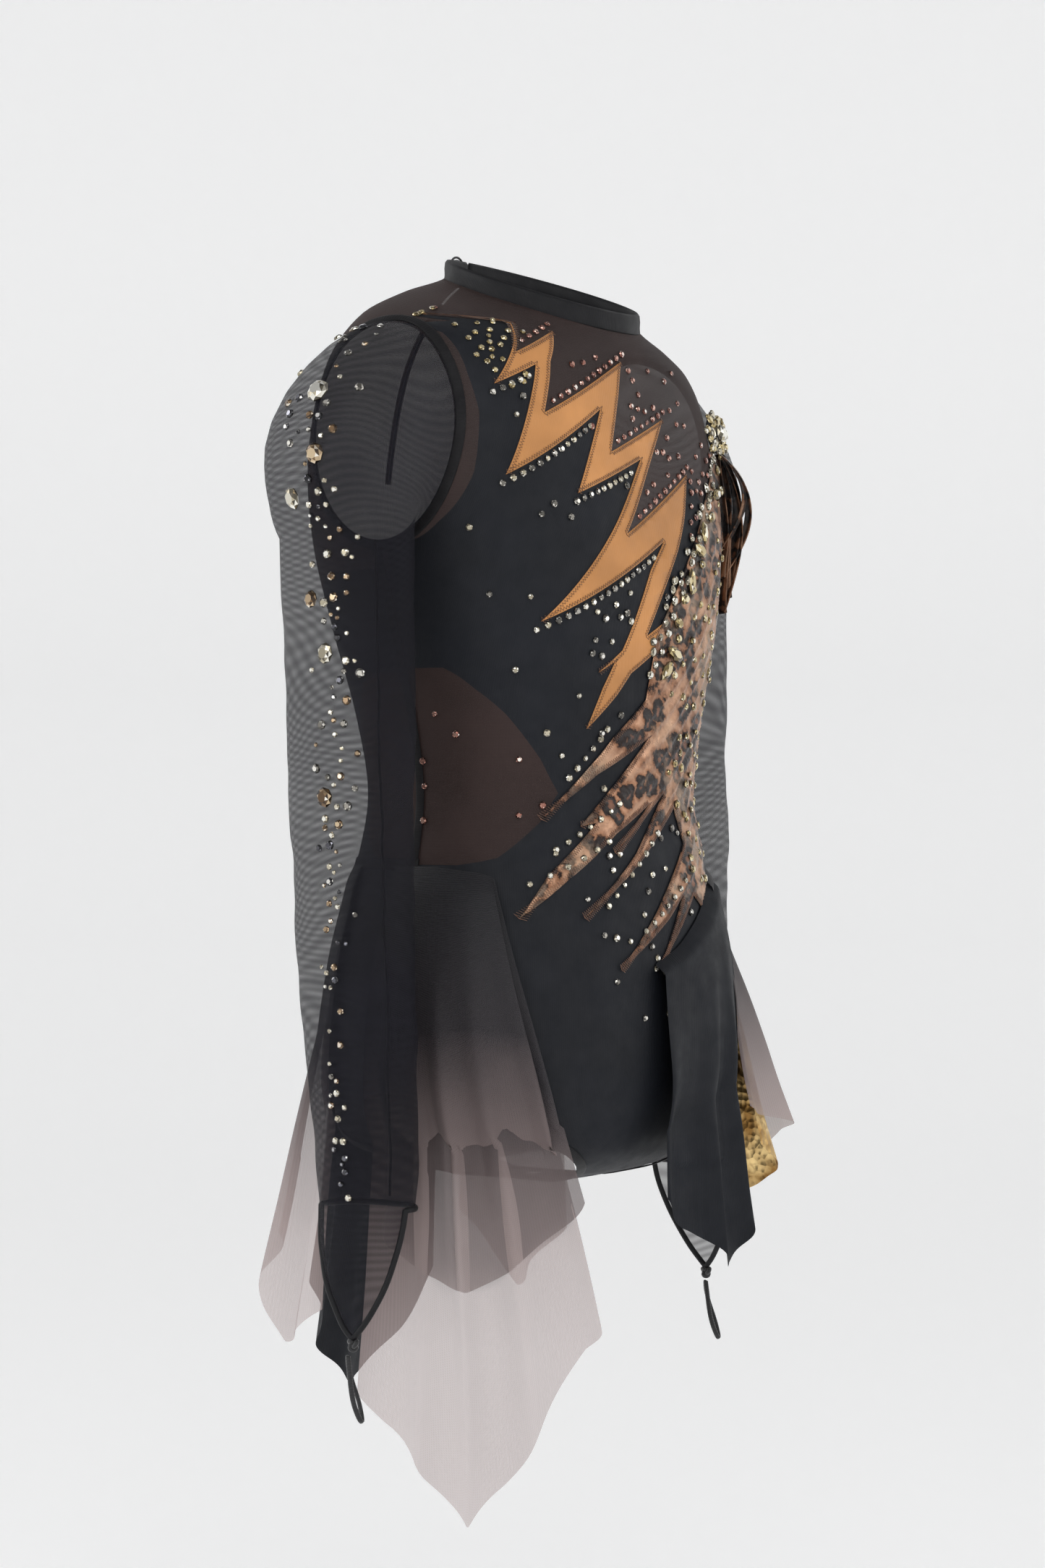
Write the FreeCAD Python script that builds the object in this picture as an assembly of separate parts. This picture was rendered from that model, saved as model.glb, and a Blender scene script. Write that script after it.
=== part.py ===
import FreeCAD, Part
import math
import os
from FreeCAD import Vector

# A child's long-sleeved cheer uniform, modelled as it is worn.
# The origin is the centre of the neck opening, +Z points up out of the neck, the wearer faces -Y,
# and the wearer's right side is at -X. All sizes are in millimetres.

# ---- driving dimensions ---------------------------------------------------------------------
FABRIC = 1.5            # modelled thickness of a layer of body fabric
GAP = 0.2               # space between a layer and what is sewn or glued on it
TRIM = 0.9              # thickness of an applique or a binding
SIDE_SEAM_Y = 12        # the side seams lie in this plane

# The torso's sections: level, half width, half depth, middle in y, squareness, rise towards the back
TORSO = [
    (14, 55, 50, 0, 2.0, 0.35), (0, 56, 51, 0, 2.0, 0.35), (-12, 89, 60, 4, 2.1, 0.32),
    (-25, 116, 68, 10, 2.2, 0.25), (-48, 129, 78, 16, 2.4, 0.14), (-90, 131, 87, 18, 2.6, 0.05),
    (-132, 124, 92, 16, 2.6, 0), (-180, 114, 89, 12, 2.5, 0), (-230, 103, 83, 9, 2.3, 0),
    (-272, 98, 80, 8, 2.2, 0), (-312, 104, 85, 8, 2.3, 0), (-360, 113, 92, 9, 2.4, 0),
    (-410, 117, 95, 10, 2.4, 0), (-440, 115, 92, 10, 2.4, 0), (-462, 106, 82, 9, 2.4, 0),
    (-474, 86, 62, 8, 2.3, 0), (-480, 50, 36, 6, 2.2, 0)]
SECTION_POINTS = 28     # points round one section
SEAM_ANGLE = 60         # where a section starts, away from every cut

NECKBAND_HEIGHT = 9
LEG_X, LEG_Y = 64, 10                    # middle of a leg opening
LEG_HALF_WIDTH, LEG_HALF_DEPTH = 42, 72
BINDING = 6                              # width of the leg and armhole bindings

ARMHOLE_Y, ARMHOLE_Z, ARMHOLE_RADIUS = 18, -90, 45
SHOULDER = Vector(-134, 18, -92)         # the right shoulder joint
CAP_RADIUS = 44                          # outside of the sleeve head, about the shoulder joint
SLEEVE_CLEARANCE = 1                     # between the sleeve head and the sleeve's mouth
SLEEVE_FABRIC = 1.2
# The right sleeve's sections: level, half width in x, half width in y, middle in y
SLEEVE_X = -153
SLEEVE = [(-98, 25, 40, 18), (-235, 25, 38, 16), (-386, 24, 33, 10), (-462, 20.5, 29, 5), (-560, 17, 22, 2)]
CUFF_Z = -484                            # the cuff's edge on the palm side
CUFF_POINT_Z = -552                      # tip of the pointed flap on the back of the hand
KNOT_X, KNOT_RADIUS = -172.5, 3.2
LOOP_HALF_WIDTH, LOOP_LENGTH, LOOP_CORD = 5.2, 34, 2.4

BACK_SLIT_WIDTH, BACK_SLIT_LENGTH = 2.4, 94
BUTTON_RADIUS, BUTTON_THICKNESS = 5, 3.2

SKIRT_FABRIC = 1.2
SKIRT_HEAD = 5.2        # how far a skirt panel's head stands off the body, so that it can swing
HIP_LEVEL = -415        # the widest level that a panel hangs over
SKIRT_SEAM_Z, SKIRT_SEAM_WIDTH = -312, 8

# ---- the body surface -----------------------------------------------------------------------


def torso_at(level):
    """Half width, half depth, middle, squareness and rise at a level, by a cubic through TORSO."""
    stations = TORSO
    k = 0
    while k < len(stations) - 2 and level < stations[k + 1][0]:
        k += 1
    before, first = stations[max(k - 1, 0)], stations[k]
    second, after = stations[k + 1], stations[min(k + 2, len(stations) - 1)]
    span = second[0] - first[0]
    t = (level - first[0]) / span
    values = []
    for i in range(1, 6):
        slope1 = (second[i] - before[i]) / (second[0] - before[0])
        slope2 = (after[i] - first[i]) / (after[0] - first[0])
        values.append((2 * t**3 - 3 * t**2 + 1) * first[i] + (t**3 - 2 * t**2 + t) * span * slope1
                      + (3 * t**2 - 2 * t**3) * second[i] + (t**3 - t**2) * span * slope2)
    return values


def round_off(value, power):
    return math.copysign(abs(value) ** power, value)


def on_torso(angle, level):
    """The point of the body surface at an angle round the body (-90 is the front)."""
    a, b, y0, squareness, rise = torso_at(level)
    power = 2 / squareness
    x = a * round_off(math.cos(math.radians(angle)), power)
    y = y0 + b * round_off(math.sin(math.radians(angle)), power)
    return Vector(x, y, level + rise * y)


def normal_at(angle, level):
    top, bottom = min(level + 3, TORSO[0][0]), max(level - 3, TORSO[-1][0])
    down = on_torso(angle, bottom) - on_torso(angle, top)
    along = on_torso(angle + 2, level) - on_torso(angle - 2, level)
    return down.cross(along).normalize()


def off_torso(angle, level, offset):
    return on_torso(angle, level) + normal_at(angle, level) * offset


def front_level(x, z, side=-1):
    """Angle and level of the point of the front (side -1) or back (side 1) at a given x and z."""
    level = z
    for _ in range(12):
        a, b, y0, squareness, rise = torso_at(min(max(level, TORSO[-1][0]), TORSO[0][0]))
        depth = max(1 - abs(x / a) ** squareness, 0) ** (1 / squareness)
        y = y0 + side * b * depth
        level = z - rise * y
    cosine = round_off(max(min(x / a, 1), -1), squareness / 2)
    return side * math.degrees(math.acos(cosine)), level


def closed_spline(points):
    """A smooth closed wire with evenly spaced knots, so that a loft keeps one small set of knots."""
    curve = Part.BSplineCurve()
    knots = [k / len(points) for k in range(len(points) + 1)]
    curve.interpolate(Points=points, PeriodicFlag=True, Parameters=knots)
    return Part.Wire([curve.toShape()])


def section_levels():
    levels = []
    for upper, lower in zip(TORSO, TORSO[1:]):
        levels.append(upper[0])
        if upper[0] - lower[0] > 30:
            levels.append((upper[0] + lower[0]) / 2)
    return levels[1:] if levels[0] == TORSO[0][0] else levels


BODIES = {}


def body(offset):
    """The whole torso as a solid, its surface moved outwards by the offset."""
    if offset in BODIES:
        return BODIES[offset]
    angles = [SEAM_ANGLE + 360 * k / SECTION_POINTS for k in range(SECTION_POINTS)]
    wires = []
    level, a, b, y0, squareness, rise = TORSO[0]
    collar = []
    for angle in angles:
        x = (a + offset) * math.cos(math.radians(angle))
        y = y0 + (b + offset) * math.sin(math.radians(angle))
        collar.append(Vector(x, y, level + rise * y))
    wires.append(closed_spline(collar))
    for level in section_levels():
        wires.append(closed_spline([off_torso(angle, level, offset) for angle in angles]))
    level, a, b, y0, squareness, rise = TORSO[-1]
    base = []
    for angle in angles:
        x = (a + offset / 2) * round_off(math.cos(math.radians(angle)), 2 / squareness)
        y = y0 + (b + offset / 2) * round_off(math.sin(math.radians(angle)), 2 / squareness)
        base.append(Vector(x, y, level - offset))
    wires.append(closed_spline(base))
    BODIES[offset] = Part.makeLoft(wires, True, False)
    return BODIES[offset]


def skin(inner, outer):
    """The layer between two offsets of the body surface."""
    return body(outer).cut(body(inner))


def prism(outline, direction, start):
    """Extrude a closed outline of (x, z) points along y, or of (y, z) points along x."""
    if abs(direction.y) > 0:
        points = [Vector(u, start, v) for u, v in outline]
    else:
        points = [Vector(start, u, v) for u, v in outline]
    return Part.Face(Part.makePolygon(points + points[:1])).extrude(direction)


FRONT = Vector(0, -150, 0)
BACK = Vector(0, 150, 0)


def front_prism(outline):
    return prism(outline, FRONT, SIDE_SEAM_Y)


def back_prism(outline):
    return prism(outline, BACK, SIDE_SEAM_Y)


def mirrored(shape):
    return shape.mirror(Vector(0, 0, 0), Vector(1, 0, 0))


def save(name, shape):
    solids = shape.Solids
    result = solids[0] if len(solids) == 1 else Part.makeCompound(solids)
    os.makedirs("parts", exist_ok=True)
    result.exportStep("parts/%s.step" % name)
    box = result.BoundBox
    print("%-26s %3d solids %10.0f mm3  x %6.1f %6.1f  y %6.1f %6.1f  z %6.1f %6.1f  valid %s" % (
        name, len(solids), result.Volume, box.XMin, box.XMax, box.YMin, box.YMax, box.ZMin, box.ZMax,
        result.isValid()))


# ---- outlines on the front, as (x, z) -------------------------------------------------------
ZIGZAG_TOP = [(-71, -18), (-85, -38), (-53, -24), (-66, -42), (-78, -70), (-9, -37), (-33, -88),
              (23, -66), (-30, -132), (41, -95), (30, -119), (19, -138), (4, -160), (-13, -186)]
ZIGZAG_TAIL = [(8, -176), (-4, -194), (-25, -206), (-35, -218), (-53, -236), (-45, -214), (-38, -200)]
ZIGZAG_BOTTOM = [(-49, -206), (-33, -194), (-24, -178), (-9, -150), (5, -134), (-84, -180), (-6, -90),
                 (-64, -112), (-36, -65), (-103, -104), (-76, -44), (-102, -56)]

CLAWS = [(-11, -220), (-35, -240), (-74, -284), (-44, -260), (-6, -240),
         (-31, -264), (-56, -288), (-46, -286), (-75, -312), (-91, -336), (-67, -316), (-34, -292), (-4, -276),
         (-37, -302), (11, -270), (-20, -302), (-62, -336), (-16, -306), (22, -278),
         (29, -298), (-6, -332), (-43, -364), (3, -338), (20, -326), (-10, -364), (34, -326)]
LEOPARD_RIGHT = [(99, -74), (56, -112), (32, -140), (14, -162), (-4, -186)]
LEOPARD_LEFT = [(52, -338), (72, -300), (84, -262), (90, -215), (98, -165), (106, -120), (112, -84)]

STRAP_INNER_X = -86     # where the lycra strap crosses the shoulder
YOKE = ([(STRAP_INNER_X, 40), (STRAP_INNER_X, -12)] + ZIGZAG_TOP[:10]
        + [(56, -110), (99, -74), (112, -96), (120, -150), (150, -150), (150, 40)])
ARMHOLE_MESH = [(-106, 40), (-106, -10), (-111, -28), (-112, -50), (-111, -71), (-115, -103),
                (-121, -128), (-124, -150), (-150, -150), (-150, 40)]
SIDE_INSERT = [(-150, -203), (-107, -204), (-100, -215), (-90, -228), (-74, -252), (-65, -270),
               (-74, -285), (-92, -304), (-101, -308), (-150, -308)]
BACK_YOKE = [(-150, 40), (-150, -150), (-110, -152), (-60, -176), (0, -184), (60, -176), (110, -152),
             (150, -150), (150, 40)]
BACK_INSERT = [(-150, -203), (-104, -206), (-88, -228), (-76, -258), (-84, -290), (-100, -308), (-150, -308)]


def back_slit():
    """The opening at the centre back, closed at the neckband by the button, as a solid that cuts it."""
    half = BACK_SLIT_WIDTH / 2
    return back_prism([(-half, 60), (half, 60), (half, -BACK_SLIT_LENGTH), (-half, -BACK_SLIT_LENGTH)])


def leg_column(grow):
    circle = Part.Ellipse(Vector(LEG_X, LEG_Y, -540), LEG_HALF_DEPTH + grow, LEG_HALF_WIDTH + grow)
    wire = Part.Wire([circle.toShape()])
    wire.rotate(Vector(LEG_X, LEG_Y, 0), Vector(0, 0, 1), 90)
    return Part.Face(wire).extrude(Vector(0, 0, 120))


def armhole_column(grow):
    return Part.makeCylinder(ARMHOLE_RADIUS + grow, 80, Vector(60, ARMHOLE_Y, ARMHOLE_Z), Vector(1, 0, 0))


def both_sides(shape):
    return shape.fuse(mirrored(shape))


def neck_slab(bottom, top):
    """The space between two planes parallel to the neck opening's plane."""
    rise = TORSO[0][5]
    outline = [(-90, bottom - 90 * rise), (90, bottom + 90 * rise), (90, top + 90 * rise), (-90, top - 90 * rise)]
    return prism(outline, Vector(200, 0, 0), -100)


def seam_slab(grow):
    """The level band that the skirt's seam takes up."""
    return Part.makeBox(320, 300, SKIRT_SEAM_WIDTH + 2 * grow, Vector(-160, -150, SKIRT_SEAM_Z - grow))


# ---- sewn body panels -----------------------------------------------------------------------


def make_panels():
    openings = [neck_slab(0, 60), both_sides(leg_column(0)), both_sides(armhole_column(0))]
    shell = skin(-FABRIC, 0)
    for opening in openings:
        shell = shell.cut(opening)
    half = Part.makeBox(320, 200, 600, Vector(-160, SIDE_SEAM_Y - 200, -520))
    front, back = shell.common(half), shell.cut(half)
    gusset = Part.makeBox(60, 60, 30, Vector(-30, -20, -500))
    save("crotch_gusset", shell.common(gusset))
    front, back = front.cut(gusset), back.cut(gusset)

    yoke, armhole_mesh, insert = front_prism(YOKE), front_prism(ARMHOLE_MESH), front_prism(SIDE_INSERT)
    save("yoke_front_mesh", front.common(yoke))
    save("armhole_mesh_right", front.common(armhole_mesh))
    save("side_insert_front_mesh", front.common(insert))
    save("bodice_front_lycra", front.cut(yoke).cut(armhole_mesh).cut(insert))

    back_yoke, back_insert = back_prism(BACK_YOKE), back_prism(BACK_INSERT)
    save("yoke_back_mesh", back.common(back_yoke).cut(back_slit()))
    save("side_insert_back_mesh", back.common(back_insert))
    save("bodice_back_lycra", back.cut(back_yoke).cut(back_insert))


def make_bindings():
    inner, outer = GAP, GAP + TRIM
    layer = skin(inner, outer)
    band = skin(-FABRIC, outer).common(neck_slab(0, NECKBAND_HEIGHT))
    save("neckband", band.cut(back_slit()))
    legs = layer.common(leg_column(BINDING)).cut(leg_column(0))
    save("leg_binding_left", legs)
    save("leg_binding_right", mirrored(legs))
    armhole = layer.common(armhole_column(BINDING)).cut(armhole_column(0))
    save("armhole_seam_left", armhole)
    save("armhole_seam_right", mirrored(armhole))
    for name, side in (("right", -1), ("left", 1)):
        strip = Part.makeBox(60, 5, 290, Vector(95 * side - 30, SIDE_SEAM_Y - 2.5, -440))
        clear = both_sides(armhole_column(BINDING + GAP)).fuse(seam_slab(1))
        save("side_seam_" + name, layer.common(strip).cut(clear))


def make_appliques():
    layer = skin(GAP, GAP + TRIM)
    save("lightning_applique", layer.common(front_prism(ZIGZAG_TOP + ZIGZAG_TAIL + ZIGZAG_BOTTOM)))
    leopard = front_prism(LEOPARD_RIGHT + CLAWS + LEOPARD_LEFT)
    raised = skin(2 * GAP + TRIM, 3 * GAP + 2.5 * TRIM)
    save("leopard_applique", raised.common(leopard))


# ---- the closure at the back ----------------------------------------------------------------


def make_closure():
    """A round button on one end of the neckband, and a thread loop over it from the other end."""
    back_y = TORSO[1][2] + GAP + TRIM
    height = NECKBAND_HEIGHT / 2 + TORSO[0][5] * back_y
    base = Vector(-7, back_y - 0.1, height)
    button = Part.makeCylinder(BUTTON_RADIUS, BUTTON_THICKNESS, base, Vector(0, 1, 0))
    rim = button.makeFillet(0.8, button.Edges)
    save("neck_button", rim)
    loop_radius = BUTTON_RADIUS + 1.2
    ring = Part.makeTorus(loop_radius, 0.7, base + Vector(0, 1.2, 0), Vector(0, 1, 0))
    tail = Part.makeCylinder(0.7, 5, base + Vector(loop_radius, 1.2, 0), Vector(1, 0, 0))
    save("neck_button_loop", ring.fuse(tail))


# ---- sleeves --------------------------------------------------------------------------------


def ellipse_wire(middle, half_x, half_y):
    points = []
    for k in range(20):
        angle = math.radians(18 * k + 45)
        points.append(middle + Vector(half_x * math.cos(angle), half_y * math.sin(angle), 0))
    return closed_spline(points)


def sleeve_solid(offset):
    wires = [ellipse_wire(Vector(SLEEVE_X, y, level), half_x + offset, half_y + offset)
             for level, half_x, half_y, y in SLEEVE]
    return Part.makeLoft(wires, True, False)


def cuff_cut(rise):
    """What lies below the cuff's edge: straight on the palm side, a pointed flap on the hand's back."""
    flap = [(-40, -600), (-40, CUFF_Z + 4 + rise), (-24, CUFF_Z + rise), (-19, CUFF_Z - 22 + rise),
            (-6, CUFF_POINT_Z + 14 + rise), (2, CUFF_POINT_Z + rise), (10, CUFF_POINT_Z + 14 + rise),
            (26, CUFF_Z - 26 + rise), (29, CUFF_Z - 6 + rise), (60, CUFF_Z + rise), (60, -600)]
    palm = Part.makeBox(80, 100, 200, Vector(SLEEVE_X + 3, -50, CUFF_Z - 200 + rise))
    return prism(flap, Vector(-80, 0, 0), SLEEVE_X + 40).fuse(palm)


def make_sleeves():
    mouth = Part.makeSphere(CAP_RADIUS + SLEEVE_CLEARANCE, SHOULDER)
    tube = sleeve_solid(0).cut(sleeve_solid(-SLEEVE_FABRIC)).cut(mouth).cut(cuff_cut(0))
    band = sleeve_solid(GAP + TRIM).cut(sleeve_solid(GAP)).common(cuff_cut(4)).cut(cuff_cut(0))
    knot = Part.makeSphere(KNOT_RADIUS, Vector(KNOT_X, 2, CUFF_POINT_Z - KNOT_RADIUS - GAP))

    head = Part.makeSphere(CAP_RADIUS, SHOULDER).cut(Part.makeSphere(CAP_RADIUS - FABRIC, SHOULDER))
    head = head.common(Part.makeBox(80, 120, 80, Vector(-130.5 - 80, -40, SHOULDER.z - 16)))

    top = knot.Solids[0].BoundBox.ZMin - 0.4
    outer = stadium(LOOP_HALF_WIDTH, LOOP_LENGTH, LOOP_CORD, top)
    inner = stadium(LOOP_HALF_WIDTH - LOOP_CORD, LOOP_LENGTH - 2 * LOOP_CORD, 3 * LOOP_CORD, top - LOOP_CORD)
    loop = outer.cut(inner)

    for name, shape in (("sleeve", tube), ("cuff_binding", band), ("cuff_knot", knot),
                        ("sleeve_head", head), ("finger_loop", loop)):
        save(name + "_right", shape)
        save(name + "_left", mirrored(shape))


def stadium(half_width, length, thickness, top):
    """A plate with round ends, hanging down from its top below the knot, square to y."""
    x, y = KNOT_X, 2 - thickness / 2
    straight = length - 2 * half_width
    plate = Part.makeBox(2 * half_width, thickness, straight, Vector(x - half_width, y, top - length + half_width))
    for z in (top - half_width, top - length + half_width):
        plate = plate.fuse(Part.makeCylinder(half_width, thickness, Vector(x, y, z), Vector(0, 1, 0)))
    return plate.removeSplitter()


# ---- skirt ----------------------------------------------------------------------------------
# Each rib of a panel: angle and level of its head, angle, stand-off and level of its hem.


def skirt_panel(ribs, head_offset, hip_offset):
    wires = []
    for head_angle, head_level, hem_angle, flare, hem_level in ribs:
        head = off_torso(head_angle, head_level, head_offset)
        hip = on_torso(hem_angle, HIP_LEVEL)
        away = Vector(hip.x, hip.y - LEG_Y, 0).normalize()
        hem = Vector(hip.x, hip.y, hem_level) + away * flare
        share = (head.z - HIP_LEVEL) / (head.z - hem.z)
        on_chord = head + (hem - head) * share
        middle_angle = head_angle + (hem_angle - head_angle) * share
        bulge = off_torso(middle_angle, HIP_LEVEL, hip_offset)
        bulge.z = HIP_LEVEL
        out = bulge - on_chord
        along = (hem - head).normalize()
        out = (out - along * out.dot(along)).normalize() * SKIRT_FABRIC
        if out.dot(away) < 0:
            out = out * -1
        wires.append(Part.makePolygon([head, bulge, hem, hem + out, bulge + out, head + out, head]))
    return Part.makeLoft(wires, True, True)


SKIRT_RIGHT_OUTER = [(174, -318, 177, 11, -598), (180, -318, 190, 13, -622), (186, -318, 203, 15, -646),
                     (192, -319, 216, 17, -612), (198, -320, 228, 16, -586), (204, -321, 240, 14, -556)]
SKIRT_RIGHT_INNER = [(176, -318, 180, 6, -505), (183, -318, 196, 8, -528), (190, -319, 211, 9, -520),
                     (197, -320, 223, 9, -505), (203, -321, 234, 8, -486)]
SKIRT_BACK_RIGHT = [(148, -318, 152, 9, -552), (141, -318, 145, 20, -566), (134, -318, 137, 30, -540),
                    (127, -318, 128, 32, -522), (119, -318, 119, 26, -520)]
SKIRT_BACK_BLACK = [(116, -318, 118, 10, -548), (106, -318, 107, 14, -576), (95, -318, 95, 18, -604),
                    (84, -318, 83, 16, -584), (73, -318, 70, 12, -548)]
SKIRT_BACK_LEFT = [(61, -318, 60, 24, -520), (53, -318, 51, 28, -530), (45, -318, 42, 22, -560),
                   (37, -318, 34, 12, -540), (31, -318, 28, 9, -528)]
SKIRT_LEFT_BLACK = [(-94, -366, -97, 16, -486), (-84, -352, -85, 18, -502), (-74, -338, -74, 21, -522),
                    (-64, -328, -63, 26, -540), (-53, -320, -51, 24, -500)]
SKIRT_LEFT_MESH = [(-58, -324, -58, 10, -452), (-48, -318, -49, 15, -456), (-38, -316, -40, 32, -458),
                   (-28, -315, -30, 22, -486), (-18, -315, -19, 11, -500)]
SKIRT_LEFT_GOLD = [(-46, -320, -48, 12, -470), (-36, -317, -38, 22, -486), (-26, -316, -28, 14, -500),
                   (-16, -316, -17, 7, -470)]


def make_skirt():
    layers = [("skirt_right_outer_mesh", SKIRT_RIGHT_OUTER, 4.0, 8.6),
              ("skirt_right_inner_mesh", SKIRT_RIGHT_INNER, 0.6, 5.0),
              ("skirt_back_right_mesh", SKIRT_BACK_RIGHT, 0, 4.0),
              ("skirt_back_lycra", SKIRT_BACK_BLACK, 0, 4.0),
              ("skirt_back_left_mesh", SKIRT_BACK_LEFT, 0, 4.0),
              ("skirt_left_lycra", SKIRT_LEFT_BLACK, 8.0, 13.0),
              ("skirt_left_mesh", SKIRT_LEFT_MESH, 4.0, 9.0),
              ("skirt_left_gold", SKIRT_LEFT_GOLD, 0.4, 5.0)]
    for name, ribs, lift, hip_offset in layers:
        save(name, skirt_panel(ribs, SKIRT_HEAD + lift, hip_offset))
    seam = skin(GAP, GAP + TRIM).common(seam_slab(0))
    keep_out = [(-88, -330), (-88, -290), (52, -290), (52, -330)]
    save("skirt_seam", seam.cut(front_prism(keep_out)))


# ---- crystals and the bust ornament ---------------------------------------------------------


def stone(point, normal, radius, stretch=1.0):
    """A flat-backed cut stone: a low cone with a flat top."""
    cone = Part.makeCone(radius, radius * 0.45, radius * 0.7, point, normal)
    if stretch != 1.0:
        matrix = FreeCAD.Matrix()
        matrix.scale(1, 1, stretch)
        cone = cone.translated(point * -1).transformGeometry(matrix).translated(point)
    return cone


def stones_on_front(places, radius, height):
    shapes = []
    for x, z in places:
        angle, level = front_level(x, z)
        normal = normal_at(angle, level)
        shapes.append(stone(on_torso(angle, level) + normal * height, normal, radius))
    return Part.makeCompound(shapes)


def row(start, end, count, bend=0.0):
    """Evenly spaced places from start to end, bowed sideways by a share of the length."""
    (x0, z0), (x1, z1) = start, end
    places = []
    for k in range(count):
        t = k / (count - 1)
        bow = bend * 4 * t * (1 - t)
        places.append((x0 + (x1 - x0) * t - (z1 - z0) * bow, z0 + (z1 - z0) * t + (x1 - x0) * bow))
    return places


def make_stones():
    on_fabric = 2 * GAP + 1.5 * TRIM
    on_leopard = 4 * GAP + 3 * TRIM
    strap = row((-92, -14), (-79, -30), 4) + row((-99, -22), (-94, -46), 4) + row((-91, -24), (-88, -36), 2)
    save("stones_shoulder", stones_on_front(strap, 1.9, on_fabric))
    yoke = (row((-50, -40), (-42, -78), 5) + row((-32, -50), (-28, -76), 4) + row((4, -62), (-6, -80), 3)
            + row((40, -70), (34, -92), 3) + row((62, -62), (52, -96), 4) + row((10, -94), (-10, -118), 4)
            + row((-24, -32), (-30, -40), 2) + row((84, -56), (78, -80), 3))
    save("stones_yoke", stones_on_front(yoke, 2.0, on_fabric))
    bodice = (row((-62, -78), (-44, -86), 3) + row((-92, -118), (-96, -196), 5) + row((-76, -124), (-78, -164), 3)
              + row((-34, -104), (-58, -134), 4) + row((-20, -112), (-36, -132), 3)
              + row((-72, -196), (-58, -252), 4) + row((-12, -206), (-32, -226), 3)
              + row((-56, -346), (-22, -370), 4) + row((-30, -388), (2, -392), 2))
    save("stones_bodice", stones_on_front(bodice, 2.0, on_fabric))
    insert = row((-92, -250), (-76, -262), 2) + row((-98, -276), (-84, -274), 2) + row((-98, -298), (-88, -290), 2)
    save("stones_side_insert", stones_on_front(insert, 1.8, on_fabric))
    edge = (row((92, -84), (60, -116), 6) + row((52, -124), (20, -162), 7) + row((12, -172), (2, -196), 4)
            + row((0, -212), (-8, -226), 2) + row((70, -130), (66, -290), 9) + row((30, -200), (20, -250), 4))
    save("stones_leopard", stones_on_front(edge, 2.6, on_leopard))

    sleeve = []
    for level, across in ((-118, 0), (-148, 4), (-172, -6), (-196, 6), (-222, 0), (-246, 6), (-272, 4), (-300, -4),
                          (-318, 8), (-340, 2), (-368, 6), (-392, 4), (-420, 8), (-446, 6), (-470, 4)):
        radius = 4.5 if level > -280 else 2.4
        point, normal = on_sleeve(level, across)
        sleeve.append(stone(point + normal * GAP, normal, radius))
    save("stones_sleeve_right", Part.makeCompound(sleeve))


def on_sleeve(level, across):
    """A point on the outer side of the right sleeve, and the outward normal there."""
    upper = [s for s in SLEEVE if s[0] >= level][-1]
    lower = [s for s in SLEEVE if s[0] < level][0]
    share = (level - upper[0]) / (lower[0] - upper[0])
    half_x, half_y, middle = [u + (v - u) * share for u, v in zip(upper[1:], lower[1:])]
    y = across - 10 - middle
    x = -half_x * math.sqrt(1 - (y / half_y) ** 2)
    normal = Vector(x / half_x**2, y / half_y**2, 0).normalize()
    return Vector(SLEEVE_X + x, middle + y, level) + normal * TRIM, normal


def make_bust_ornament():
    """A brooch of crystals on the left bust, with three fabric loops hanging from it."""
    angle, level = front_level(101, -66)
    normal = normal_at(angle, level)
    seat = on_torso(angle, level) + normal * 5.4
    brooch = [stone(seat, normal, 5.5)]
    side = normal.cross(Vector(0, 0, 1)).normalize()
    up = side.cross(normal)
    for k in range(6):
        turn = math.radians(60 * k)
        place = seat + side * (8.2 * math.cos(turn)) + up * (8.2 * math.sin(turn))
        brooch.append(stone(place, normal, 2.4))
    backing = Part.makeCylinder(11.5, 1.0, seat - normal * 1.2, normal)
    save("brooch_crystals", Part.makeCompound(brooch))
    save("brooch_backing", backing)

    loops = []
    for k, (length, lean) in enumerate(((78, -6), (96, 2), (66, 10))):
        loops.append(ribbon_loop(Vector(103 + 5 * k, -62 + 4 * k, -80), length, lean))
    save("bust_ribbon_loops", Part.makeCompound(loops))


def ribbon_loop(top, length, lean):
    """A hanging flat loop of fabric, narrow at its top and round at its bottom."""
    half_width, thickness, wall = 2.2, 3.6, 1.0
    outer = [(0, 0), (half_width, -length * 0.3), (half_width * 1.5 + wall, -length * 0.8), (0, -length),
             (-half_width * 1.2 - wall, -length * 0.8), (-half_width, -length * 0.3)]
    face = Part.Face(Part.makePolygon([Vector(x, 0, z) for x, z in outer + outer[:1]]))
    plate = face.extrude(Vector(0, thickness, 0))
    plate.translate(Vector(0, -thickness / 2, 0))
    plate.rotate(Vector(0, 0, 0), Vector(0, 1, 0), -lean * 0.3)
    plate.translate(top)
    return plate


make_panels()
make_bindings()
make_appliques()
make_closure()
make_sleeves()
make_skirt()
make_stones()
make_bust_ornament()
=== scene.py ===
import math
import random

import bpy
import numpy as np
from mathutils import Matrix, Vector, kdtree, noise
from mathutils.geometry import delaunay_2d_cdt


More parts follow.
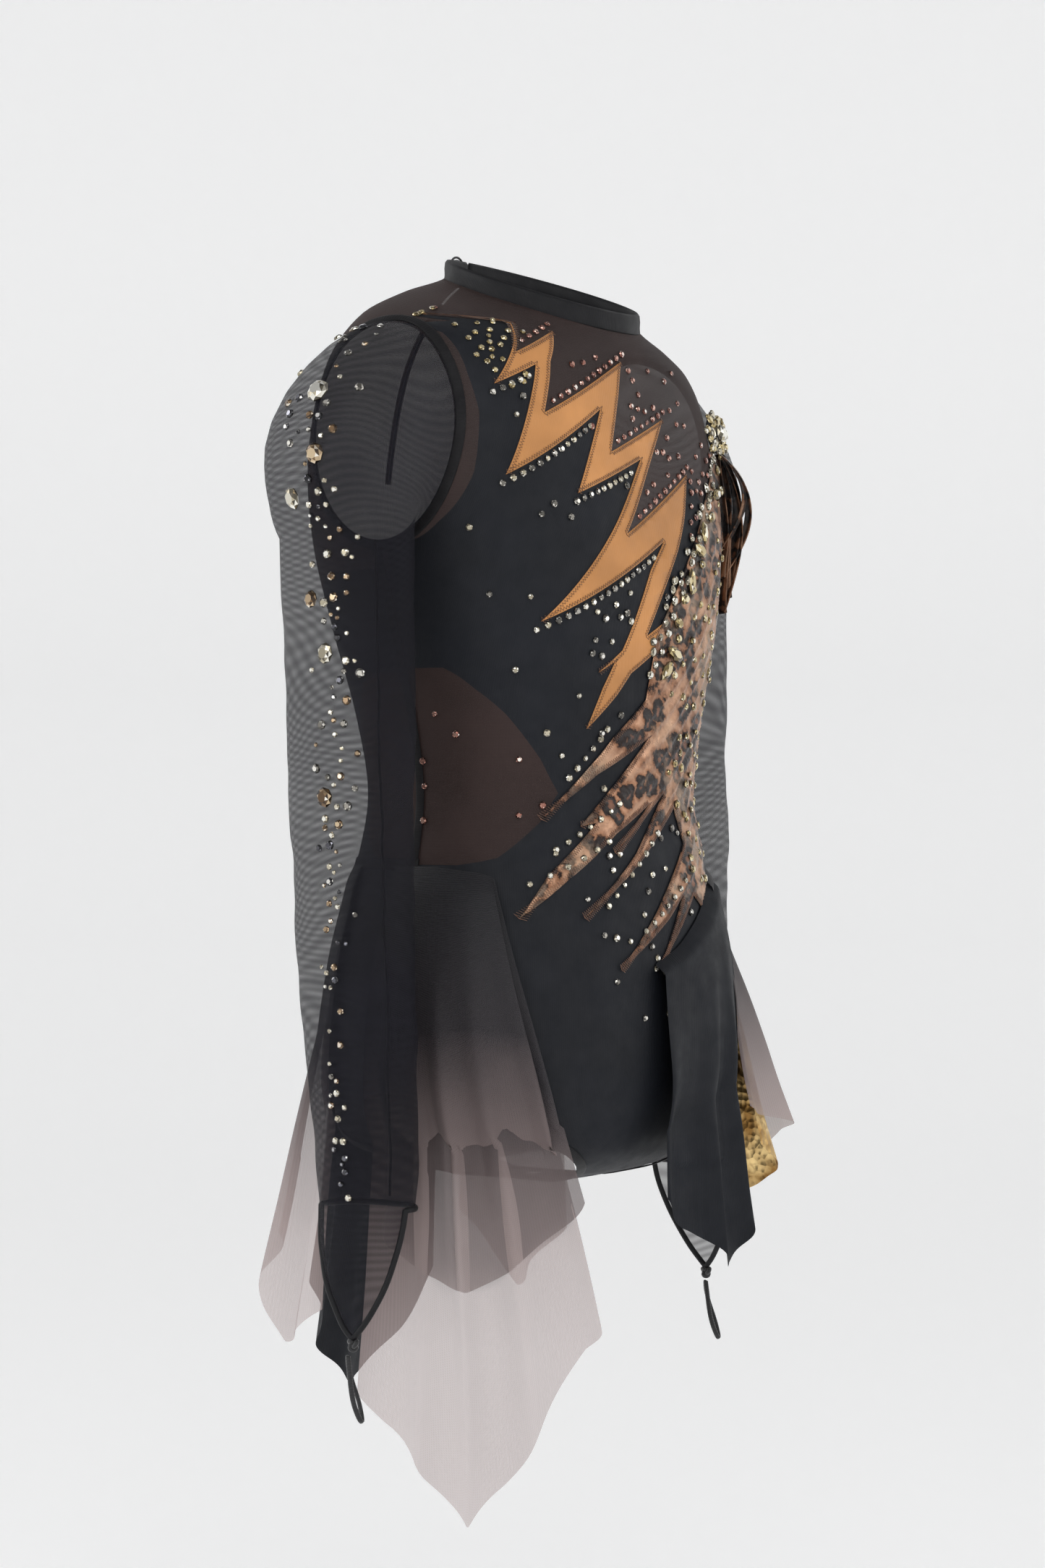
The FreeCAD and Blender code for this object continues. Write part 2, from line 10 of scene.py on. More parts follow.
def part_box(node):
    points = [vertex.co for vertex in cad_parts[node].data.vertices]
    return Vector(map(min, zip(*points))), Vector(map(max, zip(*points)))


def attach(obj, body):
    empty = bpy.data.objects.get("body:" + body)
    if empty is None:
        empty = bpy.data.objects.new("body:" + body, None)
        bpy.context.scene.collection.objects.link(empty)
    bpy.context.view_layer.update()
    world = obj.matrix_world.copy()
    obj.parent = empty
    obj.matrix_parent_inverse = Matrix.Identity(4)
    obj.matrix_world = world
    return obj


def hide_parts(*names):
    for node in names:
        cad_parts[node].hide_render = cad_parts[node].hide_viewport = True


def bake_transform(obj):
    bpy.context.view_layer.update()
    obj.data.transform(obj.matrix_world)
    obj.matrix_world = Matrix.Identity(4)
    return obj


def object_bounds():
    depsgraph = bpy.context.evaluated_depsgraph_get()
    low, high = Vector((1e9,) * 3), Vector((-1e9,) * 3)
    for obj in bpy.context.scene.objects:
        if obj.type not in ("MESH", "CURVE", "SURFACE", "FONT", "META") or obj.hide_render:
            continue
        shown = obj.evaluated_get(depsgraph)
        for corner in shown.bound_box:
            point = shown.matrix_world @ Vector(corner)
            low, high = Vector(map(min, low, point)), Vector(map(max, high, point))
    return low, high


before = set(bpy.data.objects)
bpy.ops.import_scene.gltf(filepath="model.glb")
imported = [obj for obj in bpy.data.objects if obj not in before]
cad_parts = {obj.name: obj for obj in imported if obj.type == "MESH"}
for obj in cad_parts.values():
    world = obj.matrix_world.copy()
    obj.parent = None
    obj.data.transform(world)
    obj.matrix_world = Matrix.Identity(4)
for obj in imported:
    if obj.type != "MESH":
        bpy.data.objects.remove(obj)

CAD_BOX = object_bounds()

# A child's cheer uniform as it is worn. Lengths are worked out in millimetres, in the row frame, and become
# metres when a mesh is made. The origin is the middle of the neck opening, the wearer faces -Y, and the
# wearer's right side is at -X.
MM = 0.001

# The torso's sections: level, half width, half depth, middle in y, squareness, rise towards the back
TORSO = [
    (14, 55, 50, 0, 2.0, 0.35), (0, 56, 51, 0, 2.0, 0.35), (-12, 89, 60, 4, 2.1, 0.32),
    (-25, 116, 68, 10, 2.2, 0.25), (-48, 129, 78, 16, 2.4, 0.14), (-90, 131, 87, 18, 2.6, 0.05),
    (-132, 124, 92, 16, 2.6, 0), (-180, 114, 89, 12, 2.5, 0), (-230, 103, 83, 9, 2.3, 0),
    (-272, 98, 80, 8, 2.2, 0), (-312, 104, 85, 8, 2.3, 0), (-360, 113, 92, 9, 2.4, 0),
    (-410, 117, 95, 10, 2.4, 0), (-440, 115, 92, 10, 2.4, 0), (-462, 106, 82, 9, 2.4, 0),
    (-474, 86, 62, 8, 2.3, 0), (-480, 50, 36, 6, 2.2, 0)]
BASE, POLE = -480, -530          # below BASE the level only counts how far in towards the middle a point is
SIDES_END = -430.0               # above this level nothing belongs to the underside
NECKBAND_HEIGHT = 9
ARMHOLE_Y, ARMHOLE_Z = 18, -79
ARMHOLE_HALF_DEPTH, ARMHOLE_HALF_HEIGHT = 45.5, 57.5
LEG_X, LEG_Y, LEG_HALF_WIDTH, LEG_HALF_DEPTH = 64, 10, 42, 72
SLIT_LENGTH, SLIT_HALF_WIDTH = 94, 1.2     # the opening at the centre back
HIP_LEVEL = -415


# ---- the body surface -----------------------------------------------------------------------
LEVELS = {}


def torso_at(level):
    """Half width, half depth, middle, squareness and rise at a level, by a cubic through TORSO."""
    key = round(level, 3)
    if key in LEVELS:
        return LEVELS[key]
    k = 0
    while k < len(TORSO) - 2 and level < TORSO[k + 1][0]:
        k += 1
    before, first = TORSO[max(k - 1, 0)], TORSO[k]
    second, after = TORSO[k + 1], TORSO[min(k + 2, len(TORSO) - 1)]
    span = second[0] - first[0]
    t = (level - first[0]) / span
    values = []
    for i in range(1, 6):
        slope1 = (second[i] - before[i]) / (second[0] - before[0])
        slope2 = (after[i] - first[i]) / (after[0] - first[0])
        values.append((2 * t**3 - 3 * t**2 + 1) * first[i] + (t**3 - 2 * t**2 + t) * span * slope1
                      + (3 * t**2 - 2 * t**3) * second[i] + (t**3 - t**2) * span * slope2)
    LEVELS[key] = values
    return values


def round_off(value, power):
    return math.copysign(abs(value) ** power, value)


def on_torso(angle, level):
    """The point of the body surface at an angle round the body (-90 is the front)."""
    a, b, y0, squareness, rise = torso_at(max(level, BASE))
    inwards = 1 - (BASE - level) / (BASE - POLE) if level < BASE else 1
    power = 2 / squareness
    x = inwards * a * round_off(math.cos(math.radians(angle)), power)
    y = y0 + inwards * b * round_off(math.sin(math.radians(angle)), power)
    return Vector((x, y, max(level, BASE) + rise * y))


def normal_at(angle, level):
    if level < BASE:
        return Vector((0, 0, -1))
    top, bottom = min(level + 3, TORSO[0][0]), max(level - 3, BASE)
    down = on_torso(angle, bottom) - on_torso(angle, top)
    along = on_torso(angle + 2, level) - on_torso(angle - 2, level)
    return down.cross(along).normalized()


def off_torso(angle, level, offset):
    return on_torso(angle, level) + normal_at(angle, level) * offset


def place(x, z, side=-1):
    """Angle and level of the point of the front (side -1) or back (side 1) at a given x and z."""
    level = z
    for _ in range(12):      # the level settles within a few rounds
        a, b, y0, squareness, rise = torso_at(min(max(level, BASE), TORSO[0][0]))
        depth = max(1 - abs(x / a) ** squareness, 0) ** (1 / squareness)
        level = z - rise * (y0 + side * b * depth)
    cosine = round_off(max(min(x / a, 1), -1), squareness / 2)
    angle = side * math.degrees(math.acos(cosine))
    return (angle - 360 if angle > 90 else angle), level


def split(points, spacing, closed=True):
    """The corners of an outline with evenly spaced points added between them."""
    result = []
    ends = points[1:] + points[:1] if closed else points[1:]
    for (x0, z0), (x1, z1) in zip(points, ends):
        count = max(1, math.ceil(math.hypot(x1 - x0, z1 - z0) / spacing))
        result += [(x0 + (x1 - x0) * k / count, z0 + (z1 - z0) * k / count) for k in range(count)]
    return result if closed else result + [points[-1]]


def placed(points, side=-1, spacing=3.0, closed=True):
    """An outline given as (x, z) on the front or back, as (angle, level), not above the neck opening."""
    result = []
    for x, z in split(points, spacing, closed):
        angle, level = place(x, z, side)
        result.append((angle, min(max(level, POLE + 1), 0.0)))
    return result


def other_side(outline):
    """The same outline on the other half of the body."""
    return [(-180 - angle, level) for angle, level in outline]


def armhole_place(turn, grow=0.0):
    """Angle and level of a point of the left armhole's edge. A turn of 0 is its back and 90 its top."""
    y = ARMHOLE_Y + (ARMHOLE_HALF_DEPTH + grow) * math.cos(math.radians(turn))
    z = ARMHOLE_Z + (ARMHOLE_HALF_HEIGHT + grow) * math.sin(math.radians(turn))
    level = z
    for _ in range(16):
        a, b, y0, squareness, rise = torso_at(level)
        level = z - rise * y
    sine = round_off(max(min((y - y0) / b, 1), -1), squareness / 2)
    return math.degrees(math.asin(sine)), level


def armhole(grow=0.0):
    return [armhole_place(5 * k, grow) for k in range(72)]


def beneath(x, y):
    """Angle and level of the point of the underside at a given x and y."""
    def size(level):
        a, b, y0, squareness, _ = torso_at(level)
        return (abs(x / a) ** squareness + abs((y - y0) / b) ** squareness) ** (1 / squareness)
    if size(BASE) < 1:
        level, reach = BASE - (1 - size(BASE)) * (BASE - POLE), size(BASE)
    else:
        upper, lower, reach = SIDES_END, float(BASE), 1
        for _ in range(30):
            level = (upper + lower) / 2
            if size(level) > 1:
                lower = level
            else:
                upper = level
    a, b, y0, squareness, _ = torso_at(max(level, BASE))
    cosine = round_off(x / a / reach, squareness / 2)
    sine = round_off((y - y0) / b / reach, squareness / 2)
    return math.degrees(math.atan2(sine, cosine)), level


def leg_line(grow):
    """The left leg opening's edge as (angle, level)."""
    edge = []
    for k in range(90):
        turn = math.radians(4 * k)
        edge.append(beneath(LEG_X + (LEG_HALF_WIDTH + grow) * math.cos(turn),
                            LEG_Y + (LEG_HALF_DEPTH + grow) * math.sin(turn)))
    return edge


def inside(point, outline):
    """Whether a point lies in a closed outline."""
    u, v = point
    found = False
    for (u0, v0), (u1, v1) in zip(outline, outline[1:] + outline[:1]):
        if (v0 > v) != (v1 > v) and u < u0 + (u1 - u0) * (v - v0) / (v1 - v0):
            found = not found
    return found


# ---- meshes ---------------------------------------------------------------------------------
def circle(count):
    """Evenly spaced angles round a full turn."""
    return [math.tau * k / count for k in range(count)]


def new_piece(name, points, faces, material, smooth=True, uvs=None):
    """A mesh object from points in millimetres."""
    mesh = bpy.data.meshes.new(name)
    mesh.from_pydata([(p[0] * MM, p[1] * MM, p[2] * MM) for p in points], [], faces)
    mesh.validate()
    mesh.polygons.foreach_set("use_smooth", [smooth] * len(mesh.polygons))
    if uvs is not None:
        layer = mesh.uv_layers.new(name="UVMap")
        corners = np.zeros(len(mesh.loops), np.int32)
        mesh.loops.foreach_get("vertex_index", corners)
        layer.data.foreach_set("uv", (np.array(uvs, np.float32)[corners] * MM).ravel())
    mesh.materials.append(material)
    piece = bpy.data.objects.new(name, mesh)
    bpy.context.scene.collection.objects.link(piece)
    mesh.update()
    return piece


def modify(piece, kind, **settings):
    """Adds a modifier and applies it."""
    modifier = piece.modifiers.new(kind.title(), kind)
    for key, value in settings.items():
        setattr(modifier, key, value)
    graph = bpy.context.evaluated_depsgraph_get()
    mesh = bpy.data.meshes.new_from_object(piece.evaluated_get(graph))
    piece.modifiers.clear()
    piece.data = mesh


def grid_faces(rows, columns, closed=False):
    """Quads of a grid of points, numbered row by row. closed joins each row's end to its start."""
    faces = []
    for i in range(rows - 1):
        for j in range(columns if closed else columns - 1):
            k = (j + 1) % columns
            faces.append((i * columns + j, i * columns + k, (i + 1) * columns + k, (i + 1) * columns + j))
    return faces


ANGLE_SCALE = 2.0        # millimetres a degree, about, so that a flat pattern isn't too distorted


def triangles(outlines, grid):
    """Triangles over (angle, level), with every outline's edges kept."""
    flat, edges = [], []
    for outline in outlines:
        start = len(flat)
        flat += [Vector((u * ANGLE_SCALE, v)) for u, v in outline]
        edges += [(start + k, start + (k + 1) % len(outline)) for k in range(len(outline))]
    tree = kdtree.KDTree(len(flat))
    for k, p in enumerate(flat):
        tree.insert((p.x, p.y, 0), k)
    tree.balance()
    for u, v in grid:
        if tree.find((u * ANGLE_SCALE, v, 0))[2] > 1.0:
            flat.append(Vector((u * ANGLE_SCALE, v)))
    points, _, faces = delaunay_2d_cdt(flat, edges, [], 0, 1e-4)[:3]
    return [(p.x / ANGLE_SCALE, p.y) for p in points], faces


def centre_of(points, face):
    return sum(points[k][0] for k in face) / len(face), sum(points[k][1] for k in face) / len(face)


def rows_of_levels(top, bottom, spacing):
    """Levels whose distance apart on the surface is about the spacing."""
    levels = [top]
    while levels[-1] > bottom:
        level, step = levels[-1], 0.25
        while level - step > bottom and max((on_torso(angle, level - step) - on_torso(angle, level)).length
                                            for angle in (-180, -90)) < spacing:
            step += 0.25
        levels.append(max(level - step, bottom))
    return levels


def patch(name, outline, spacing, offset, material, raise_by=None):
    """A piece of cloth on the body inside an outline of (angle, level). raise_by(angle, level) lifts it."""
    edge = list(outline)
    us, vs = [p[0] for p in edge], [p[1] for p in edge]
    grid = []
    v = min(vs)
    while v < max(vs):
        u = min(us)
        while u < max(us):
            grid.append((u, v))
            u += spacing / ANGLE_SCALE
        v += spacing
    grid = [p for p in grid if inside(p, edge)]
    points, faces = triangles([edge], grid)
    faces = [f for f in faces if inside(centre_of(points, f), edge)]
    lift = raise_by or (lambda angle, level: 0)
    solid = [off_torso(u, v, offset + lift(u, v)) for u, v in points]
    return new_piece(name, solid, faces, material, uvs=[(u * ANGLE_SCALE, v) for u, v in points])


def sweep(path, normals, profile, closed=True):
    """Points and faces of a profile of (across, out) pairs carried along a path. A profile is an open line,
    or a ring if its first and last pairs are the same."""
    count = len(path)
    ring = profile[0] == profile[-1]
    section = profile[:-1] if ring else profile
    points = []
    for k in range(count):
        ahead = path[(k + 1) % count] if closed or k < count - 1 else path[k]
        behind = path[k - 1] if closed or k > 0 else path[k]
        tangent = (ahead - behind).normalized()
        out = (normals[k] - tangent * normals[k].dot(tangent)).normalized()
        across = tangent.cross(out)
        points += [path[k] + across * s + out * h for s, h in section]
    faces = grid_faces(count, len(section), ring)
    if closed:
        last = (count - 1) * len(section)
        for j in range(len(section) if ring else len(section) - 1):
            i = (j + 1) % len(section)
            faces.append((last + j, last + i, i, j))
    return points, faces


def band(name, outline, width, material, offset, closed=True, swell=0.9):
    """A flat sewn band that lies on the body along an outline of (angle, level)."""
    path = [off_torso(u, v, offset) for u, v in outline]
    normals = [normal_at(u, v) for u, v in outline]
    half = width / 2
    profile = [(-half, 0), (-half, swell * 0.7), (-half * 0.7, swell), (0, swell * 1.1), (half * 0.7, swell),
               (half, swell * 0.7), (half, 0), (-half, 0)]
    points, faces = sweep(path, normals, profile, closed)
    uvs = [(k // 7 * 2.0, k % 7 * 1.5) for k in range(len(points))]
    return new_piece(name, points, faces, material, uvs=uvs)


def tube(name, path, radius, material, closed=False, sides=8, flatten=1.0):
    """A round thread or cord along a path. flatten below 1 makes it a flat strip's section."""
    count = len(path)
    normals = []
    for k in range(count):
        ahead = path[min(k + 1, count - 1)] - path[max(k - 1, 0)]
        normals.append(ahead.orthogonal().normalized() if k == 0 else
                       (normals[-1] - ahead * (normals[-1].dot(ahead) / ahead.length_squared)).normalized())
    profile = [(radius * math.cos(a), flatten * radius * math.sin(a)) for a in circle(sides)]
    points, faces = sweep(path, normals, profile + profile[:1], closed)
    if not closed:
        faces += [tuple(range(sides))[::-1], tuple(len(points) - sides + k for k in range(sides))]
    return new_piece(name, points, faces, material)


def joined(name, parts):
    """Several pieces as one."""
    for part in parts[1:]:
        part.data.transform(part.matrix_world)
    context = {"object": parts[0], "active_object": parts[0], "selected_objects": parts,
               "selected_editable_objects": parts}
    with bpy.context.temp_override(**context):
        bpy.ops.object.join()
    parts[0].name = name
    parts[0].data.name = name
    return parts[0]


def sew(piece, slot, *nodes, body="bodice"):
    """Fixes a piece to a body and lets it stand for CAD nodes. Its slot is not used."""
    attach(piece, body)
    if nodes:
        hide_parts(*nodes)


# ---- materials ------------------------------------------------------------------------------


class Shader:
    """A node material. Each method adds one node, links what it is given, and returns its output."""

    def __init__(self, name):
        self.material = bpy.data.materials.new(name)
        self.material.use_nodes = True
        self.nodes, self.links = self.material.node_tree.nodes, self.material.node_tree.links
        self.nodes.clear()
        self.output = self.nodes.new("ShaderNodeOutputMaterial")

    def add(self, kind, inputs=None, out=0, **settings):
        node = self.nodes.new(kind)
        for key, value in settings.items():
            setattr(node, key, value)
        for key, value in (inputs or {}).items():
            if isinstance(value, bpy.types.NodeSocket):
                self.links.new(value, node.inputs[key])
            else:
                node.inputs[key].default_value = value
        return node.outputs[out]

    def position(self):
        return self.add("ShaderNodeTexCoord", out="Object")

    def uv(self):
        return self.add("ShaderNodeTexCoord", out="UV")

    def height(self):
        return self.add("ShaderNodeSeparateXYZ", {0: self.position()}, out=2)

    def noise(self, vector, scale, detail=3.0, roughness=0.5):
        return self.add("ShaderNodeTexNoise", {"Vector": vector, "Scale": scale, "Detail": detail,
                                               "Roughness": roughness})

    def wave(self, vector, scale, direction="X", distortion=0.0, detail=0.0):
        return self.add("ShaderNodeTexWave", {"Vector": vector, "Scale": scale, "Distortion": distortion,
                                              "Detail": detail}, out="Fac", bands_direction=direction)

    def math(self, operation, a, b=0.5, clamp=False):
        return self.add("ShaderNodeMath", {0: a, 1: b}, operation=operation, use_clamp=clamp)

    def span(self, value, low, high, to_low=0.0, to_high=1.0):
        return self.add("ShaderNodeMapRange", {"Value": value, "From Min": low, "From Max": high,
                                               "To Min": to_low, "To Max": to_high})

    def mottle(self, scale, low, high, detail=3.0):
        """A value that drifts over the surface between two limits."""
        return self.span(self.noise(self.position(), scale, detail), 0.3, 0.7, low, high)

    def ramp(self, value, stops):
        node = self.nodes.new("ShaderNodeValToRGB")
        self.links.new(value, node.inputs[0])
        ramp = node.color_ramp
        while len(ramp.elements) < len(stops):
            ramp.elements.new(0.5)
        for element, (at, colour) in zip(ramp.elements, stops):
            element.position = at
            element.color = (*colour, 1)
        return node.outputs[0]

    def mix(self, share, a, b, blend_type="MIX"):
        return self.add("ShaderNodeMix", {0: share, 6: a, 7: b}, out=2, data_type="RGBA",
                        blend_type=blend_type)

    def bump(self, height, distance, strength=1.0):
        return self.add("ShaderNodeBump", {"Height": height, "Distance": distance, "Strength": strength})

    def surface(self, **inputs):
        named = {key.replace("_", " "): value for key, value in inputs.items()}
        self.links.new(self.add("ShaderNodeBsdfPrincipled", named), self.output.inputs[0])
        return self.material

    def weave(self, per_metre):
        """A fine cloth weave over the UVs, from 0 in the gaps to 1 on the threads."""
        scale = per_metre * math.tau / 20        # a wave texture repeats every tau / 20 of its scaled length
        across = self.wave(self.uv(), scale, "X")
        along = self.wave(self.uv(), scale, "Y")
        return self.math("MAXIMUM", across, along)


def rgb(r, g, b):
    """A colour seen as these sRGB values, in linear light."""
    return tuple((c / 255 / 12.92 if c < 10.3 else ((c / 255 + 0.055) / 1.055) ** 2.4) for c in (r, g, b))


def rgba(r, g, b):
    return (*rgb(r, g, b), 1)


def tinted(colour, share):
    """A lighter or darker tone of a colour, with its alpha."""
    return (*(min(share * c, 1) for c in colour), 1)


def lycra(name, colour, sheen=0.0, rough=0.62):
    """Matt stretch knit with faint vertical ribs."""
    s = Shader(name)
    cloud = s.noise(s.position(), 18.0, 4.0)
    knit = s.wave(s.uv(), 420.0, "X", 1.5, 2.0)
    shade = s.mix(s.span(cloud, 0.3, 0.7), tinted(colour, 0.8), tinted(colour, 1.25))
    return s.surface(Base_Color=shade, Roughness=s.mottle(90.0, rough - 0.06, rough + 0.08),
                     Sheen_Weight=sheen, Sheen_Roughness=0.4,
                     Specular_IOR_Level=0.3,
                     Normal=s.bump(s.math("ADD", knit, s.math("MULTIPLY", cloud, 2.0)), 0.0002, 0.3))


def sheer(name, colour, opacity, moire=0.0):
    """Stretch mesh: a fine net, denser where it bunches."""
    s = Shader(name)
    net = s.weave(1400.0)
    cloud = s.noise(s.position(), 14.0, 4.0)
    alpha = s.math("ADD", s.span(net, 0.0, 1.0, opacity - 0.05, opacity + 0.05),
                   s.span(cloud, 0.3, 0.7, -0.03, 0.03))
    if moire:
        warp = s.noise(s.position(), 7.0, 1.0)
        field = s.math("ADD", s.height(), s.math("MULTIPLY", warp, 0.16))
        ripples = s.wave(s.add("ShaderNodeCombineXYZ", {"X": field, "Y": 0.0, "Z": 0.0}), 62.0, "X")
        alpha = s.math("ADD", alpha, s.span(ripples, 0.0, 1.0, -moire, moire), clamp=True)
    shade = s.mix(s.span(cloud, 0.3, 0.7), tinted(colour, 0.75), tinted(colour, 1.25))
    return s.surface(Base_Color=shade, Roughness=0.7, Alpha=alpha, Specular_IOR_Level=0.25,
                     Normal=s.bump(net, 0.00015, 0.4))


def leopard(name, bright, tone=1.0):
    """Foiled leopard-print velvet: dark broken rosettes over rose-gold foil. Patches are lightened towards a
    colour that is partly the foil's own and partly a painted highlight.
    """
    s = Shader(name)
    drift = s.add("ShaderNodeTexNoise", {"Vector": s.position(), "Scale": 55.0}, out=1)
    drift = s.add("ShaderNodeVectorMath", {0: drift, 3: 0.012}, operation="SCALE")
    warp = s.add("ShaderNodeVectorMath", {0: s.position(), 1: drift}, operation="ADD")
    cells = s.add("ShaderNodeTexVoronoi", {"Vector": warp, "Scale": 88.0, "Randomness": 1.0})
    crumbs = s.noise(s.position(), 150.0, 3.0, 0.6)
    rings = s.math("ADD", cells, s.span(crumbs, 0.3, 0.7, -0.16, 0.16))
    print_colour = s.ramp(rings, [
        (0.0, rgb(132, 86, 60)), (0.16, rgb(110, 68, 46)), (0.22, rgb(22, 13, 11)),
        (0.47, rgb(34, 20, 16)), (0.55, rgb(148, 106, 80)), (0.8, rgb(190, 148, 120))])
    # patches of foil lightened towards the second colour: partly the foil's own colour, partly a painted
    # highlight
    foil_and_highlight_map = s.noise(s.position(), 26.0, 5.0, 0.65)
    foil = s.span(foil_and_highlight_map, 0.5, 0.62)
    colour = s.mix(foil, print_colour, s.mix(0.4, print_colour, (*bright, 1)))
    colour = s.mix(1.0, colour, (tone, tone, tone, 1), "MULTIPLY")
    metal = s.span(rings, 0.25, 0.55, 0.15, 0.85)
    rough = s.mottle(260.0, 0.24, 0.46, 4.0)
    creases = s.add("ShaderNodeTexNoise", {"Vector": s.position(), "Scale": 130.0, "Detail": 5.0,
                                           "Distortion": 1.2})
    return s.surface(Base_Color=colour, Metallic=metal, Roughness=rough, Sheen_Weight=0.1,
                     Normal=s.bump(creases, 0.0012, 0.55))


def ombre(name, top, bottom, hem, opacity, sheen=0.05):
    """Mesh dyed from black at the waist to pale pinkish grey at the hem."""
    s = Shader(name)
    depth = s.span(s.math("ADD", s.height(), s.mottle(10.0, -0.014, 0.014)), top * MM, bottom * MM)
    colour = s.ramp(depth, [(0.0, rgb(14, 13, 20)), (0.3, rgb(36, 31, 36)), (0.55, rgb(118, 104, 103)),
                            (0.75, rgb(168, 150, 147)), (1.0, rgb(*hem))])
    net = s.weave(900.0)
    cover = s.ramp(depth, [(at, (value,) * 3) for at, value in
                           ((0.0, 0.86), (0.35, 0.8), (0.8, opacity), (1.0, opacity))])
    alpha = s.math("ADD", cover, s.span(net, 0.0, 1.0, -0.06, 0.06), clamp=True)
    return s.surface(Base_Color=colour, Roughness=0.6, Alpha=alpha, Sheen_Weight=sheen, Sheen_Roughness=0.3,
                     Normal=s.bump(net, 0.0002, 0.4))


def lame(name):
    """Creased gold foil cloth."""
    s = Shader(name)
    creases = s.add("ShaderNodeTexVoronoi", {"Vector": s.position(), "Scale": 230.0})
    drift = s.noise(s.position(), 60.0, 5.0)
    colour = s.mix(s.span(drift, 0.35, 0.65), rgba(150, 112, 60), rgba(246, 214, 150))
    return s.surface(Base_Color=colour, Metallic=0.9, Roughness=0.3,
                     Normal=s.bump(s.math("ADD", creases, drift), 0.0012, 0.7))


def crystal(name, dark, mid, light, rough=0.06):
    """Foil-backed cut glass. Each facet is painted a random tone, from painted shade to a near-white painted
    glint, standing in for reflected glitter.
    """
    s = Shader(name)
    painted_glint = s.add("ShaderNodeAttribute", attribute_name="facet", out=2)
    # the ramp runs from painted shade through the stone's colour to painted glints
    colour = s.ramp(painted_glint, [(0.0, rgb(*dark)), (0.5, rgb(*mid)), (0.85, rgb(*light)),
                            (1.0, rgb(255, 252, 244))])
    return s.surface(Base_Color=colour, Metallic=0.82, Roughness=rough, Coat_Weight=0.7, Coat_Roughness=0.02)


def thread(name, colour, rough=0.5):
    """Twisted thread or elastic cord, with painted shade in the grooves of its twist."""
    s = Shader(name)
    twist = s.wave(s.position(), 320.0, "DIAGONAL", 1.0)
    # darker where the twist's bump is low: painted shade in the grooves
    shade = s.mix(twist, tinted(colour, 0.6), (*colour, 1))
    return s.surface(Base_Color=shade, Roughness=rough, Sheen_Weight=0.3, Normal=s.bump(twist, 0.0002, 0.5))


BLACK_LYCRA = lycra("black_lycra", rgb(15, 18, 25))
BINDING = lycra("black_binding", rgb(11, 11, 15), 0.02, 0.55)
SEAM_BAND = lycra("seam_band", rgb(13, 12, 15), 0.0, 0.7)
TAN_LYCRA = lycra("tan_lycra", rgb(200, 140, 84), 0.1, 0.55)
YOKE_MESH = sheer("yoke_mesh", rgb(52, 40, 38), 0.9)
SLEEVE_MESH = sheer("sleeve_mesh", rgb(14, 13, 24), 0.6, 0.08)
# Each leopard cloth's second colour is partly its foil's colour, partly a painted highlight.
LEOPARD = leopard("leopard_foil", rgb(236, 200, 168))
LEOPARD_DARK = leopard("leopard_ribbon", rgb(150, 104, 74), 0.45)
OMBRE = ombre("ombre_mesh", -318, -560, (186, 170, 168), 0.6)
OMBRE_SHORT = ombre("ombre_mesh_short", -330, -640, (120, 106, 104), 0.7)
OMBRE_SIDE = ombre("ombre_mesh_side", -305, -500, (196, 176, 170), 0.6)
GOLD_LAME = lame("gold_lame")
TAN_THREAD = thread("tan_thread", rgb(112, 70, 40))
COPPER_THREAD = thread("copper_thread", rgb(150, 104, 78), 0.4)
BLACK_THREAD = thread("black_thread", rgb(14, 14, 18))
# Each stone's dark and light tones are painted shade and painted glints, laid on its facets at random.
GOLD_STONE = crystal("crystal_gold", (60, 46, 20), (190, 168, 110), (246, 232, 190))
COPPER_STONE = crystal("crystal_copper", (54, 24, 18), (150, 92, 76), (232, 184, 166))
SMOKE_STONE = crystal("crystal_smoke", (22, 20, 18), (112, 108, 100), (224, 220, 210))
CLEAR_STONE = crystal("crystal_clear", (60, 54, 44), (196, 186, 160), (252, 250, 240))
JET_STONE = crystal("crystal_jet", (4, 4, 6), (18, 18, 24), (120, 120, 130))
TOPAZ_STONE = crystal("crystal_topaz", (40, 26, 14), (120, 92, 60), (220, 196, 160))


# ---- outlines on the front, as (x, z) -------------------------------------------------------
ZIGZAG_TOP = [(-71, -18), (-85, -38), (-53, -24), (-66, -42), (-78, -70), (-9, -37), (-33, -88),
              (23, -66), (-30, -132), (41, -95), (30, -119), (19, -138), (4, -160), (-13, -186)]
ZIGZAG_TAIL = [(8, -176), (-4, -194), (-25, -206), (-35, -218), (-53, -236), (-45, -214), (-38, -200)]
ZIGZAG_BOTTOM = [(-49, -206), (-33, -194), (-24, -178), (-9, -150), (5, -134), (-84, -180), (-6, -90),
                 (-64, -112), (-36, -65), (-103, -104), (-76, -44), (-102, -56)]
LIGHTNING = ZIGZAG_TOP + ZIGZAG_TAIL + ZIGZAG_BOTTOM
CLAWS = [(-11, -220), (-35, -240), (-74, -284), (-44, -260), (-6, -240),
         (-31, -264), (-56, -288), (-46, -286), (-75, -312), (-91, -336), (-67, -316), (-34, -292),
         (-4, -276),
         (-37, -302), (11, -270), (-20, -302), (-62, -336), (-16, -306), (22, -278),
         (29, -298), (-6, -332), (-43, -364), (3, -338), (20, -326), (-10, -364), (34, -326)]
LEOPARD_RIGHT = [(99, -74), (56, -112), (32, -140), (14, -162), (-4, -186)]
LEOPARD_LEFT = [(52, -338), (72, -300), (84, -262), (90, -215), (98, -165), (106, -120), (112, -84)]
LEOPARD_EDGE = LEOPARD_RIGHT + CLAWS + LEOPARD_LEFT
STRAP_INNER_X = -86
